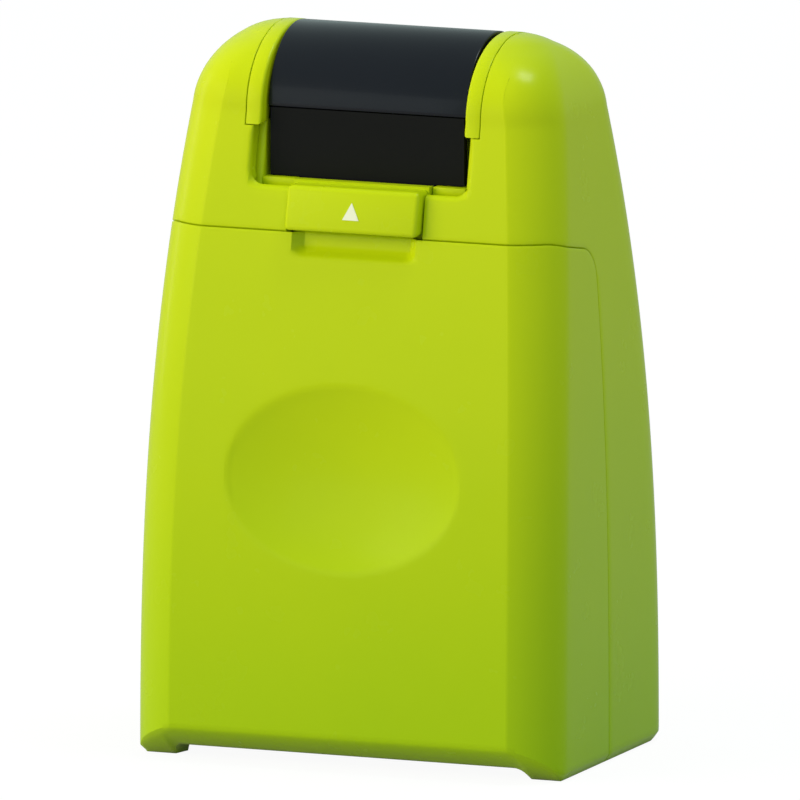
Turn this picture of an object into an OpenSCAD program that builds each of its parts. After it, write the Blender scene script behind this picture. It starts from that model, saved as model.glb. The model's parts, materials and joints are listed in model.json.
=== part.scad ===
// Roller stamp with a swinging shutter, standing on its base with the roller end up.
// The front faces -Y, +Z is up, and the origin is the centre of the base.

/* [Body] */
// Width of the body at its base
body_w = 45.4; // [44:0.2:52]
// Depth of the body at its base
body_d = 33; // [31:0.5:38]
// Height of the roller axis above the base
axis_z = 64.6; // [62:0.2:72]
// Width lost on each side between the base and the roller axis
taper_w = 2.9; // [1:0.1:4]
// Depth of the head in front of and behind the shutter at the roller axis
head_margin = 1.7; // [1.5:0.1:3]
// Width that the crown's round takes off each side of the head
crown_round = 11.6; // [4:0.2:13]
// Radius of the upright corners
corner_r = 4.7; // [3:0.1:6]
// Thickness of the moulded walls
wall = 1.5; // [1.2:0.1:2]
// Height of the rounded edge round the base
bevel_h = 0.9; // [0.5:0.1:3.4]
// How far that edge draws in at the base
bevel_in = 0.6; // [0.3:0.1:2]
// Height of the slope under the front and under the back
slope_h = 3.5; // [2:0.1:4]
// Depth of that slope at the base
slope_d = 4.3; // [3:0.1:5]
// Depth of the recess under the floor
under_h = 2; // [1.6:0.1:3]
// Rise of the arch between the front feet
arch_h = 1.3; // [0.6:0.1:1.5]
// Width of the arch between the front feet
arch_w = 38; // [24:1:40]

/* [Seams] */
// Drop from the roller axis to the seam between head and front panel
seam_drop = 11.4; // [10:0.1:14]
// Depth position of the seam down each side
seam_y = -0.8; // [-2:0.1:0]
// Radius of the panel's upper side corners
seam_r = 2.6; // [2:0.1:4]
// Fall of that seam along each side of the body
seam_fall = 1.2; // [0:0.1:2]
// Width of the seams
seam_gap = 0.25; // [0.15:0.05:0.4]
// Thickness of the locating lip behind the side seams
lip_t = 0.8; // [0.6:0.1:1.2]
// Reach of the locating lip past the side seams
lip_reach = 1.6; // [1:0.1:2.4]

/* [Thumb dimple] */
// Width of the thumb dimple
dimple_w = 25.4; // [18:0.2:30]
// Height of the thumb dimple
dimple_h = 18.6; // [14:0.2:22]
// Depth of the thumb dimple
dimple_depth = 1.7; // [0.8:0.1:2]
// Height of the dimple's centre above the base
dimple_z = 29.2; // [24:0.2:34]

/* [Head opening] */
// Drop from the roller axis to the lower edge of the opening
open_drop = 7.1; // [6:0.1:8.5]
// Drop from the roller axis to the step in the opening's sides
step_drop = 1.4; // [0.6:0.1:2.4]
// Depth position of the opening's rear edge
open_rear = 5.5; // [4.5:0.1:6]
// Clearance between neighbouring pieces that pass each other
side_gap = 0.25; // [0.15:0.01:0.4]
// Thickness of the guide frame's side plates
plate_t = 1.6; // [1.2:0.1:2.4]

/* [Shutter] */
// Thickness of the shutter
shutter_t = 0.8; // [0.6:0.05:1.2]
// Clearance between the shutter and the printing roller
shutter_gap = 0.4; // [0.3:0.05:0.8]
// Angle of the shutter's front edge above the horizontal
shutter_a0 = 4; // [3:1:12]
// Angle of the shutter's rear edge
shutter_a1 = 150; // [135:1:165]
// Thickness of the shutter's end discs
disc_t = 0.6; // [0.5:0.05:1]
// Diameter of the shutter's pivot pins
pin_d = 3.2; // [2.4:0.1:3.6]
// Radial running clearance on pins and axles
run_fit = 0.05; // [0.03:0.01:0.1]

/* [Slide] */
// Width of the slide button
button_w = 14.1; // [10:0.1:18]
// Height of the slide button
button_h = 4.4; // [3.6:0.1:5.2]
// How far the button stands proud of the head
button_proud = 1.3; // [0.8:0.1:2]
// Travel of the slide
slide_travel = 5.2; // [3:0.1:5.6]
// Thickness of the carrier behind the button
carrier_t = 1.1; // [0.8:0.05:1.4]
// Number of teeth round the shutter gear
gear_teeth = 12; // [10:1:14]
// Module of the rack and gear
gear_module = 0.5; // [0.4:0.05:0.6]
// Face width of the gear and rack
gear_w = 0.9; // [0.6:0.05:1.5]
// Mean diameter of the slide spring
spring_d = 2.2; // [1.8:0.1:2.6]
// Wire diameter of the slide spring
spring_wire = 0.4; // [0.3:0.05:0.45]
// Number of turns in the slide spring
spring_turns = 8; // [5:1:10]

/* [Rollers] */
// Radius of the printing roller over its rubber
stamp_r = 6.7; // [6:0.1:7.6]
// Width of the printing rubber
stamp_w = 13.6; // [10:0.2:17]
// Width of each grip ring beside the rubber
ring_w = 0.8; // [0.5:0.1:2]
// Thickness of the printing rubber
rubber_t = 1.5; // [1:0.1:2]
// Diameter of the printing roller's axle
axle_d = 3; // [2:0.1:4]
// Radius of the ink roller over its felt
ink_r = 3.6; // [3:0.1:4.2]
// Thickness of the ink felt
felt_t = 1.5; // [1:0.1:1.8]
// Diameter of the ink roller's axle
ink_axle_d = 2; // [1.5:0.1:2.4]
// Forward lean of the ink roller below the printing roller
ink_lean = 10; // [4:1:16]
// Thickness of the cartridge's arms
arm_t = 0.8; // [0.6:0.05:1.2]

/* [Screws] */
// Diameter of the screw shanks
screw_d = 2; // [1.6:0.1:2.4]
// Diameter of the screw heads
screw_head_d = 3.8; // [3:0.1:4.4]
// Spacing of the screws across the frame
screw_pitch = 14; // [10:0.5:16]
// Length of the screw shanks
screw_len = 4.4; // [3.6:0.1:5]
// Drop from the roller axis to the lower screws
screw_low = 30.6; // [26:0.2:34]
// Drop from the roller axis to the upper screws
screw_high = 12.6; // [11.5:0.1:13.5]

/* [Hidden] */
$fn = 64;
eps = 0.02;

// Named clearances
ring_gap = 0.1;
roller_gap = 0.4;
arm_gap = 0.15;
frame_gap = 0.1;
carrier_gap = 0.4;
rail_gap = 0.15;
ink_gap = 0.3;
ink_clear = 1;
swing_gap = 0.3;

// Heights that follow the roller axis
axis_y = -0.6;
shutter_r = stamp_r + shutter_gap + shutter_t;
head_d = 2 * (shutter_r + head_margin);
crown_h = shutter_r;
seam_z = axis_z - seam_drop;
open_z = axis_z - open_drop;
step_z = axis_z - step_drop;
floor_z = under_h + wall;

// Layers across the width, from the printing rubber outwards
core_half = stamp_w / 2 + ring_gap + ring_w;
arm_in = core_half + roller_gap;
arm_out = arm_in + arm_t;
gear_in = arm_out + arm_gap;
disc_in = gear_in + gear_w;
disc_out = disc_in + disc_t;
plate_in = disc_out + side_gap;
plate_out = plate_in + plate_t;
open_half = plate_out + frame_gap;
open_step = 0.75;
lower_half = plate_in + open_step;

// Rollers
ink_dist = stamp_r + ink_r + ink_gap;
ink_y = axis_y - ink_dist * sin(ink_lean);
ink_z = axis_z - ink_dist * cos(ink_lean);
stamp_core_r = stamp_r - rubber_t;
ink_core_r = ink_r - felt_t;

// Rack and gear
pitch_r = gear_teeth * gear_module / 2;
tooth_pitch = PI * gear_module;

// Slide, its rails and its spring
apron_y = axis_y - shutter_r;
apron_t = 0.8;
carrier_back = apron_y - carrier_gap;
carrier_front = carrier_back - carrier_t;
wing_drop = 22.6;
wing_z = axis_z - wing_drop;
wing_h = 2.5;
wing_half = plate_in - side_gap;
rail_t = 0.35;
rail_in = wing_half - side_gap;
spring_rim = (spring_d + spring_wire) / 2;
spring_x = spring_rim + side_gap - rail_in;
carrier_half = -spring_x - spring_rim - side_gap;
seat_back = 1.9;
seat_y = apron_y + seat_back;
bar_drop = 0.6;
bar_z = open_z - bar_drop;
bar_h = 1;
bar_front = carrier_back - 0.5;
bar_back = seat_y - side_gap;
spring_y = (bar_front + bar_back) / 2;
spring_z0 = wing_z + wing_h;
rod_d = 1.2;

// Guide frame and the cartridge's seat
frame_drop = 24.6;
frame_low = axis_z - frame_drop;
shelf_drop = 20.6;
shelf_z = axis_z - shelf_drop;
shelf_t = 1.6;
shelf_top = shelf_z + shelf_t;
base_top = ink_z - ink_r - ink_clear;
back_y = 6;
back_t = 1.6;
back_drop = 34.6;
back_low = axis_z - back_drop;
back_top = open_z - back_t;
screw_rows = [axis_z - screw_low, axis_z - screw_high];
screw_head_h = 0.34 * screw_head_d;

// Half width and half depth of the body at a height up to the roller axis
width_power = 2.7;
depth_power = 2.2;
function half_w(z) = body_w / 2 - taper_w * pow(max(z, 0) / axis_z, width_power);
function half_d(z) = body_d / 2 - (body_d - head_d) / 2 * pow(max(z, 0) / axis_z, depth_power);

// Rounded rectangle of half sizes a and b at height z, as a ring of points
corner_steps = 6;
ring_n = 4 * (corner_steps + 1);
function ring(a, b, r, z) = [
    for (k = [0 : 3])
        for (s = [0 : corner_steps])
            let (
                turn = 90 * (k + s / corner_steps),
                sx = (k == 0 || k == 3) ? 1 : -1,
                sy = (k < 2) ? 1 : -1
            )
            [sx * (a - r) + r * cos(turn), sy * (b - r) + r * sin(turn), z]
];

// Rings of the body form drawn in by off, from z0 up over the crown
body_steps = 12;
crown_steps = 9;
crown_end = 86;
crown_power = 0.5;
bevel_power = 1.6;
function body_ring(z, off, draw) =
    ring(half_w(z) - off - draw, half_d(z) - off - draw, max(corner_r - off, 0.7), z);
function crown_ring(t, off) =
    let (
        b = (head_d / 2 - off) * cos(t),
        a = half_w(axis_z) - off - crown_round * (1 - pow(cos(t), crown_power))
    )
    ring(a, b, min(max(corner_r - off, 0.7), b * 0.96), axis_z + (crown_h - off) * sin(t));
bevel_steps = 4;
function form_rings(off, z0) = [
    if (z0 <= 0)
        for (i = [0 : bevel_steps - 1])
            let (rise = i / bevel_steps)
            body_ring(bevel_h * rise, off, bevel_in * pow(1 - rise, bevel_power)),
    for (i = [0 : body_steps])
        let (low = z0 <= 0 ? bevel_h : z0)
        body_ring(low + (axis_z - low) * i / body_steps, off, 0),
    for (j = [1 : crown_steps]) crown_ring(crown_end * j / crown_steps, off)
];

// Solid through a stack of rings of ring_n points
module loft(rings) {
    points = [for (one = rings) each one];
    last = (len(rings) - 1) * ring_n;
    sides = [
        for (i = [0 : len(rings) - 2])
            for (j = [0 : ring_n - 1])
                let (
                    a = i * ring_n + j,
                    b = i * ring_n + (j + 1) % ring_n,
                    c = b + ring_n,
                    d = a + ring_n
                )
                each [[d, c, b], [d, b, a]]
    ];
    floor_cap = [for (j = [0 : ring_n - 1]) j];
    crown_cap = [for (j = [ring_n - 1 : -1 : 0]) last + j];
    polyhedron(points, concat(sides, [floor_cap, crown_cap]), convexity = 6);
}

module body_form(off = 0, z0 = 0) {
    loft(form_rings(off, z0));
}

// Outline of the body from the side, drawn in by off, between two heights
side_steps = 16;
function side_half(off, low) = [
    for (i = [0 : side_steps])
        let (z = low + (axis_z - low) * i / side_steps)
        [half_d(z) - off, z],
    for (j = [1 : 2 * side_steps])
        let (t = 180 * j / (2 * side_steps))
        [(head_d / 2 - off) * cos(t), axis_z + (crown_h - off) * sin(t)],
    for (i = [side_steps - 1 : -1 : 0])
        let (z = low + (axis_z - low) * i / side_steps)
        [off - half_d(z), z]
];

// Turns a drawing of depth and height into a solid from x0 to x1
module across(x0, x1) {
    translate([x0, 0, 0])
        rotate([90, 0, 90])
            linear_extrude(x1 - x0, convexity = 6)
                children();
}

// The same solid on the right and on the left
module both_sides() {
    children();
    mirror([1, 0, 0]) children();
}

// Ring of depth and height round the roller axis, between two angles from the front
module axis_arc(r0, r1, a0, a1) {
    translate([axis_y, axis_z])
        intersection() {
            difference() {
                circle(r1);
                if (r0 > 0) circle(r0);
            }
            reach = r1 * 2;
            polygon(concat(
                [[0, 0]],
                [for (i = [0 : 4]) let (a = a0 + (a1 - a0) * i / 4) [-cos(a) * reach, sin(a) * reach]]
            ));
        }
}

// Straight pin along the width
module bar_x(x0, x1, d, y, z) {
    translate([x0, y, z])
        rotate([0, 90, 0])
            cylinder(d = d, h = x1 - x0);
}

// Slope under the front edge of the base
module base_slope() {
    over = 1;
    run = over * slope_d / slope_h;
    foot = -body_d / 2 + slope_d + run;
    outer = -body_d / 2 - run;
    across(-body_w, body_w)
        polygon([[foot, -over], [outer, slope_h + over], [outer, -over]]);
}

// Moulded shell of the whole body, with its floor and the recess under it
module shell() {
    over = 1;
    rim = 0.5;
    difference() {
        body_form();
        body_form(wall, floor_z);
        base_slope();
        mirror([0, 1, 0]) base_slope();
        translate([0, 0, -over])
            linear_extrude(under_h + over)
                hull()
                    for (sx = [-1, 1], sy = [-1, 1])
                        translate([
                            sx * (body_w / 2 - bevel_in - wall - corner_r),
                            sy * (body_d / 2 - slope_d - wall - corner_r)
                        ])
                            circle(corner_r - rim, $fn = 32);
    }
}

// Zone in front of the side seams and below the head seam, grown by g
module panel_zone(g) {
    deep = body_d;
    wide = body_w;
    front = half_d(seam_z) - wall;
    across(-wide, wide)
        hull() {
            translate([-deep, -deep]) square([deep + seam_y + g, eps]);
            translate([-deep, seam_z + g - eps]) square([deep - front, eps]);
            translate([seam_y - seam_r, seam_z - seam_fall - seam_r]) circle(seam_r + g, $fn = 32);
        }
}

// Opening for roller and shutter through the head
module head_opening() {
    round_r = 0.9;
    deep = body_d;
    translate([-open_half, -deep, step_z]) cube([2 * open_half, deep + open_rear, deep]);
    hull()
        for (sx = [-1, 1]) {
            translate([sx * (lower_half - round_r), -deep, open_z + round_r])
                rotate([-90, 0, 0])
                    cylinder(r = round_r, h = deep + axis_y, $fn = 32);
            translate([sx * (lower_half - round_r), -deep, step_z])
                rotate([-90, 0, 0])
                    cylinder(r = round_r, h = deep + axis_y, $fn = 32);
        }
    notch_half = button_w / 2 + side_gap;
    translate([-notch_half, -deep, 0]) cube([2 * notch_half, deep + axis_y, open_z + wall]);
}

// Boss that takes a frame screw, from the frame's back plate to the rear wall
module screw_boss(x, z) {
    far = half_d(z) - wall / 2;
    near = back_y + back_t;
    translate([x, 0, z])
        difference() {
            hull() {
                translate([0, near, 0]) rotate([-90, 0, 0]) cylinder(d = screw_d + 2, h = eps, $fn = 24);
                translate([0, far - eps, 0]) rotate([-90, 0, 0]) cylinder(d = screw_d + 3, h = eps, $fn = 24);
            }
            translate([0, near - 1, 0])
                rotate([-90, 0, 0]) cylinder(d = screw_d + 0.1, h = screw_len - back_t + 1.4, $fn = 24);
        }
}

// Upright stiffening rib inside the rear wall
module back_rib(x) {
    low = floor_z - eps;
    high = back_low - 2;
    rib_t = 0.9;
    deep = 2.2;
    hull() {
        translate([x - rib_t / 2, half_d(low) - wall - deep, low]) cube([rib_t, deep + wall / 2, eps]);
        translate([x - rib_t / 2, half_d(high) - wall, high]) cube([rib_t, wall / 2, eps]);
    }
}

module rear_case() {
    color("yellowgreen") {
        difference() {
            shell();
            panel_zone(seam_gap / 2);
            head_opening();
            bar_x(-plate_in, plate_in, 2 * (shutter_r + swing_gap), axis_y, axis_z);
        }
        for (sx = [-1, 1], z = screw_rows) screw_boss(sx * screw_pitch / 2, z);
        for (sx = [-1, 0, 1]) back_rib(sx * screw_pitch / 2);
    }
}

// Ellipsoid of the thumb dimple, grown by g
module dimple_form(g) {
    depth_r = 6;
    sink = depth_r - dimple_depth;
    spread = sqrt(1 - pow(sink / depth_r, 2));
    lean = atan((half_d(dimple_z - 5) - half_d(dimple_z + 5)) / 10);
    translate([0, -half_d(dimple_z) - sink, dimple_z])
        rotate([-lean, 0, 0])
            scale([dimple_w / 2 / spread + g, depth_r + g, dimple_h / 2 / spread + g])
                sphere(1, $fn = 72);
}

// Finger scoop in the panel's upper edge, under the button
module finger_scoop() {
    depth = 1;
    drop = 2.3;
    round_r = 0.9;
    face = half_d(seam_z);
    hull()
        for (sx = [-1, 1]) {
            translate([sx * (button_w / 2 - round_r), -face - wall, seam_z - drop + round_r])
                rotate([-90, 0, 0]) cylinder(r = round_r, h = wall + depth, $fn = 24);
            translate([sx * (button_w / 2 - round_r), -face - wall, seam_z])
                rotate([-90, 0, 0]) cylinder(r = round_r, h = wall + depth, $fn = 24);
        }
}

// Flat arch that leaves the panel standing on its two feet
module front_arch() {
    deep = body_d;
    reach = slope_d + wall + corner_r / 2;
    hull()
        for (sx = [-1, 1])
            translate([sx * (arch_w / 2 - arch_h), -deep, 0])
                rotate([-90, 0, 0]) cylinder(r = arch_h, h = deep - body_d / 2 + reach, $fn = 32);
}

// Locating lip on the panel, which slips inside the rear case
module seam_lip() {
    slip = 0.2;
    low = floor_z + 1;
    root = 3;
    high = seam_z - seam_fall - seam_r - root;
    wide = body_w;
    intersection() {
        difference() {
            body_form(wall - 0.1, floor_z - wall / 2);
            body_form(wall + slip + lip_t, floor_z - wall);
        }
        translate([-wide, seam_y - root, low]) cube([2 * wide, root - seam_gap, high - low]);
    }
    intersection() {
        difference() {
            body_form(wall + slip, floor_z - wall / 2);
            body_form(wall + slip + lip_t, floor_z - wall);
        }
        translate([-wide, seam_y - root / 2, low]) cube([2 * wide, root / 2 + lip_reach, high - low]);
    }
}

// Upright stiffening rib inside the front panel, above or below the dimple
module panel_rib(x, low, high) {
    rib_t = 0.9;
    deep = 1.2;
    hull()
        for (z = [low, high])
            translate([x - rib_t / 2, -half_d(z) + wall / 2, z]) cube([rib_t, wall / 2 + deep, eps]);
}

// Thickening behind the finger scoop
module scoop_backing() {
    face = half_d(seam_z);
    pad_h = 3.2;
    margin = 1;
    translate([-button_w / 2 - margin, -face, seam_z - pad_h])
        cube([button_w + 2 * margin, face + carrier_front - side_gap, pad_h]);
}

module front_panel() {
    color("yellowgreen") {
        intersection() {
            difference() {
                union() {
                    shell();
                    intersection() {
                        dimple_form(wall);
                        body_form(eps);
                    }
                    intersection() {
                        scoop_backing();
                        body_form(eps);
                    }
                }
                dimple_form(0);
                finger_scoop();
                front_arch();
            }
            panel_zone(-seam_gap / 2);
        }
        seam_lip();
        for (sx = [-1, 1]) {
            panel_rib(sx * screw_pitch / 2, floor_z - eps, dimple_z - dimple_h / 2 - 2);
            panel_rib(sx * screw_pitch, floor_z - eps, dimple_z - dimple_h / 2);
        }
    }
}

module guide_frame() {
    inset = wall + side_gap;
    rail_top = spring_z0 + slide_travel;
    color("olivedrab")
        difference() {
            union() {
                both_sides() {
                    across(plate_in, plate_out) {
                        polygon(side_half(inset, frame_low));
                        intersection() {
                            polygon(side_half(0, step_z + frame_gap));
                            translate([-body_d, 0]) square([body_d + open_rear - frame_gap, 2 * axis_z]);
                        }
                    }
                    across(carrier_half + side_gap, plate_in + eps)
                        translate([bar_front, bar_z]) square([bar_back - bar_front, bar_h]);
                    across(rail_in, plate_in + eps)
                        for (y = [carrier_front - rail_gap - rail_t, carrier_back + rail_gap])
                            translate([y, wing_z]) square([rail_t, rail_top - wing_z]);
                }
                across(-plate_in - eps, plate_in + eps) {
                    translate([back_y, back_low]) square([back_t, back_top - back_low]);
                    translate([seat_y, shelf_z]) square([back_y - seat_y + eps, shelf_t]);
                }
            }
            both_sides() bar_x(plate_in - 1, plate_out + 1, pin_d, axis_y, axis_z);
            for (sx = [-1, 1], z = screw_rows)
                translate([sx * screw_pitch / 2, back_y - 1, z])
                    rotate([-90, 0, 0]) cylinder(d = screw_d + 0.2, h = back_t + 2);
            translate([spring_x, spring_y, bar_z - 1]) cylinder(d = rod_d, h = bar_h + 2);
        }
}

module frame_screws() {
    recess_d = 0.7 * screw_d;
    recess_h = 0.6 * screw_head_h;
    color("silver")
        for (sx = [-1, 1], z = screw_rows)
            translate([sx * screw_pitch / 2, back_y, z])
                rotate([-90, 0, 0])
                    difference() {
                        union() {
                            translate([0, 0, -screw_head_h]) cylinder(d = screw_head_d, h = screw_head_h);
                            translate([0, 0, -eps]) cylinder(d = screw_d, h = screw_len);
                        }
                        translate([0, 0, -screw_head_h - eps]) cylinder(d = recess_d, h = recess_h + eps, $fn = 6);
                    }
}

module shutter_pins() {
    color("silver")
        both_sides() bar_x(gear_in, plate_out, pin_d, axis_y, axis_z);
}

module shutter() {
    hub_r = pitch_r;
    color([0.1, 0.1, 0.11])
        difference() {
            union() {
                across(-disc_out, disc_out)
                    axis_arc(shutter_r - shutter_t, shutter_r, shutter_a0, shutter_a1);
                both_sides()
                    across(disc_in, disc_out) {
                        axis_arc(0, shutter_r - shutter_t / 2, shutter_a0, shutter_a1);
                        translate([axis_y, axis_z]) circle(hub_r);
                    }
            }
            bar_x(-plate_out, plate_out, pin_d + 2 * run_fit, axis_y, axis_z);
        }
}

// Gear that the rack turns, seen from the side with a gap towards the rack
module shutter_gear() {
    root_r = pitch_r - 1.25 * gear_module;
    tip_r = pitch_r + 0.9 * gear_module;
    root_half = 0.84 * gear_module;
    pitch_half = 0.56 * gear_module;
    tip_half = 0.24 * gear_module;
    color([0.1, 0.1, 0.11])
        difference() {
            union() {
                bar_x(gear_in, disc_in, 2 * root_r, axis_y, axis_z);
                for (i = [0 : gear_teeth - 1])
                    across(gear_in, disc_in)
                        translate([axis_y, axis_z])
                            rotate(360 / gear_teeth * (i + 0.5))
                                polygon([
                                    [-root_r + 0.3, -root_half], [-pitch_r, -pitch_half], [-tip_r, -tip_half],
                                    [-tip_r, tip_half], [-pitch_r, pitch_half], [-root_r + 0.3, root_half]
                                ]);
            }
            bar_x(0, plate_out, pin_d + 2 * run_fit, axis_y, axis_z);
        }
}

module slide_button() {
    round_r = 0.5;
    low = seam_z + side_gap;
    face_low = -half_d(low) - button_proud;
    face_high = -half_d(low + button_h) - button_proud + 0.2;
    half = button_w / 2;
    color("yellowgreen")
        intersection() {
            translate([0, carrier_front, low])
                rotate([90, 0, 0])
                    linear_extrude(half)
                        union() {
                            translate([-half + round_r, 0]) square([button_w - 2 * round_r, button_h]);
                            translate([-half, round_r]) square([button_w, button_h - 2 * round_r]);
                            for (sx = [-1, 1], z = [round_r, button_h - round_r])
                                translate([sx * (half - round_r), z]) circle(round_r);
                        }
            across(-half, half)
                polygon([
                    [carrier_front, low], [face_low, low], [face_high, low + button_h],
                    [carrier_front, low + button_h]
                ]);
        }
}

module slide_carrier() {
    ledge = 0.2;
    plate_top = bar_z + bar_h + ledge;
    rack_back = axis_y - pitch_r - 1.2 * gear_module;
    rack_bar = 1;
    rack_top = axis_z + 0.6 * tooth_pitch;
    tip = 0.9 * gear_module;
    link_z = shelf_top + 0.6;
    link_h = 2;
    link_w = gear_w - frame_gap;
    color("yellowgreen") {
        across(-carrier_half, carrier_half)
            translate([carrier_front, wing_z]) square([carrier_t, plate_top - wing_z]);
        across(-wing_half, wing_half)
            translate([carrier_front, wing_z]) square([carrier_t, wing_h]);
        across(spring_x - spring_rim, spring_x + spring_rim)
            translate([carrier_front, wing_z])
                square([spring_y + spring_rim - carrier_front, wing_h]);
        across(gear_in, gear_in + link_w) {
            translate([carrier_front, wing_z]) square([carrier_t, link_z + link_h - wing_z]);
            translate([carrier_front, link_z]) square([rack_back - carrier_front, link_h]);
            translate([rack_back - rack_bar, link_z]) square([rack_bar, rack_top - link_z]);
            for (i = [-5 : 0])
                translate([axis_y - pitch_r, axis_z + i * tooth_pitch])
                    polygon([
                        [-1.3 * gear_module, -0.94 * gear_module], [0, -0.56 * gear_module],
                        [tip, -0.24 * gear_module], [tip, 0.24 * gear_module],
                        [0, 0.56 * gear_module], [-1.3 * gear_module, 0.94 * gear_module]
                    ]);
        }
    }
}

// Helix of the slide spring as one tube of six-sided rings
spring_rings = 8;
wire_sides = 6;
spring_len = bar_z - spring_z0;
spring_pitch = (spring_len - spring_wire) / spring_turns;
echo(spring_least_gap = spring_pitch - spring_wire);
module slide_spring() {
    count = spring_turns * spring_rings;
    climb = spring_pitch / (PI * spring_d);
    points = [
        for (i = [0 : count])
            let (
                turn = 360 * i / spring_rings,
                z = spring_wire / 2 + spring_pitch * i / spring_rings
            )
            for (s = [0 : wire_sides - 1])
                let (
                    a = 360 * s / wire_sides,
                    r = spring_d / 2 + spring_wire / 2 * cos(a),
                    side = -spring_wire / 2 * sin(a) * sin(atan(climb))
                )
                [
                    r * cos(turn) - side * sin(turn),
                    r * sin(turn) + side * cos(turn),
                    z + spring_wire / 2 * sin(a) * cos(atan(climb))
                ]
    ];
    sides = [
        for (i = [0 : count - 1])
            for (s = [0 : wire_sides - 1])
                let (
                    a = i * wire_sides + s,
                    b = i * wire_sides + (s + 1) % wire_sides
                )
                each [[a, b, b + wire_sides], [a, b + wire_sides, a + wire_sides]]
    ];
    start_cap = [for (s = [wire_sides - 1 : -1 : 0]) s];
    end_cap = [for (s = [0 : wire_sides - 1]) count * wire_sides + s];
    color("silver")
        translate([spring_x, spring_y, spring_z0])
            polyhedron(points, concat(sides, [start_cap, end_cap]), convexity = 10);
}

module spring_rod() {
    low = spring_z0 + slide_travel + 0.5;
    color("silver")
        translate([spring_x, spring_y, low]) cylinder(d = rod_d, h = bar_z + bar_h - low);
}

module cartridge_frame() {
    arm_r = 2.8;
    foot_half = 3;
    base_h = base_top - shelf_top;
    apron_top = axis_z + shutter_r * sin(shutter_a0) - side_gap;
    apron_half = disc_out - side_gap;
    apron_low = bar_z + bar_h + side_gap;
    color([0.12, 0.12, 0.13])
        difference() {
            union() {
                both_sides()
                    across(arm_in, arm_out)
                        hull() {
                            translate([axis_y, axis_z]) circle(arm_r);
                            translate([ink_y, ink_z]) circle(arm_r);
                            translate([ink_y - foot_half, shelf_top]) square([2 * foot_half, eps]);
                        }
                across(-arm_out, arm_out)
                    translate([seat_y, shelf_top])
                        square([back_y - side_gap - seat_y, base_h]);
                across(-carrier_half, carrier_half) {
                    translate([apron_y, shelf_top]) square([apron_t, apron_top - shelf_top]);
                    translate([apron_y + eps, shelf_top]) square([seat_y - apron_y, base_h]);
                }
                across(-apron_half, apron_half)
                    translate([apron_y, apron_low]) square([apron_t, apron_top - apron_low]);
            }
            bar_x(-arm_out - 1, arm_out + 1, axle_d, axis_y, axis_z);
            bar_x(-arm_out - 1, arm_out + 1, ink_axle_d, ink_y, ink_z);
        }
}

module stamp_axle() {
    color("silver") bar_x(-arm_out, arm_out, axle_d, axis_y, axis_z);
}

module stamp_core() {
    color("white")
        difference() {
            bar_x(-core_half, core_half, 2 * stamp_core_r, axis_y, axis_z);
            bar_x(-core_half - 1, core_half + 1, axle_d + 2 * run_fit, axis_y, axis_z);
        }
}

module stamp_rubber() {
    color("dimgray")
        difference() {
            bar_x(-stamp_w / 2, stamp_w / 2, 2 * stamp_r, axis_y, axis_z);
            bar_x(-stamp_w, stamp_w, 2 * stamp_core_r, axis_y, axis_z);
        }
}

module grip_rings() {
    color("gray")
        both_sides()
            difference() {
                bar_x(core_half - ring_w, core_half, 2 * stamp_r, axis_y, axis_z);
                bar_x(0, core_half + 1, 2 * stamp_core_r, axis_y, axis_z);
            }
}

module ink_axle() {
    color("silver") bar_x(-arm_out, arm_out, ink_axle_d, ink_y, ink_z);
}

module ink_core() {
    color("white")
        difference() {
            bar_x(-stamp_w / 2 - roller_gap, stamp_w / 2 + roller_gap, 2 * ink_core_r, ink_y, ink_z);
            bar_x(-stamp_w, stamp_w, ink_axle_d + 2 * run_fit, ink_y, ink_z);
        }
}

module ink_felt() {
    color("black")
        difference() {
            bar_x(-stamp_w / 2, stamp_w / 2, 2 * ink_r, ink_y, ink_z);
            bar_x(-stamp_w, stamp_w, 2 * ink_core_r, ink_y, ink_z);
        }
}

// Bowed leaf springs that carry the ink axle towards the printing roller
module ink_springs() {
    leaf_t = 0.3;
    leaf_w = 0.5;
    bow_r = ink_z - ink_axle_d / 2 - base_top;
    color("silver")
        both_sides()
            across(arm_in - ring_gap - leaf_w, arm_in - ring_gap)
                translate([ink_y, base_top])
                    intersection() {
                        difference() {
                            circle(bow_r);
                            circle(bow_r - leaf_t);
                        }
                        translate([-bow_r, 0]) square([2 * bow_r, bow_r]);
                    }
}

rear_case();
front_panel();
guide_frame();
frame_screws();
shutter_pins();
shutter();
shutter_gear();
slide_button();
slide_carrier();
slide_spring();
spring_rod();
cartridge_frame();
stamp_axle();
stamp_core();
stamp_rubber();
grip_rings();
ink_axle();
ink_core();
ink_felt();
ink_springs();
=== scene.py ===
import json
import math
import random
from collections import namedtuple

import bmesh
import bpy
from bpy.props import FloatProperty, FloatVectorProperty, IntProperty, PointerProperty
from mathutils import Matrix, Vector


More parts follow.
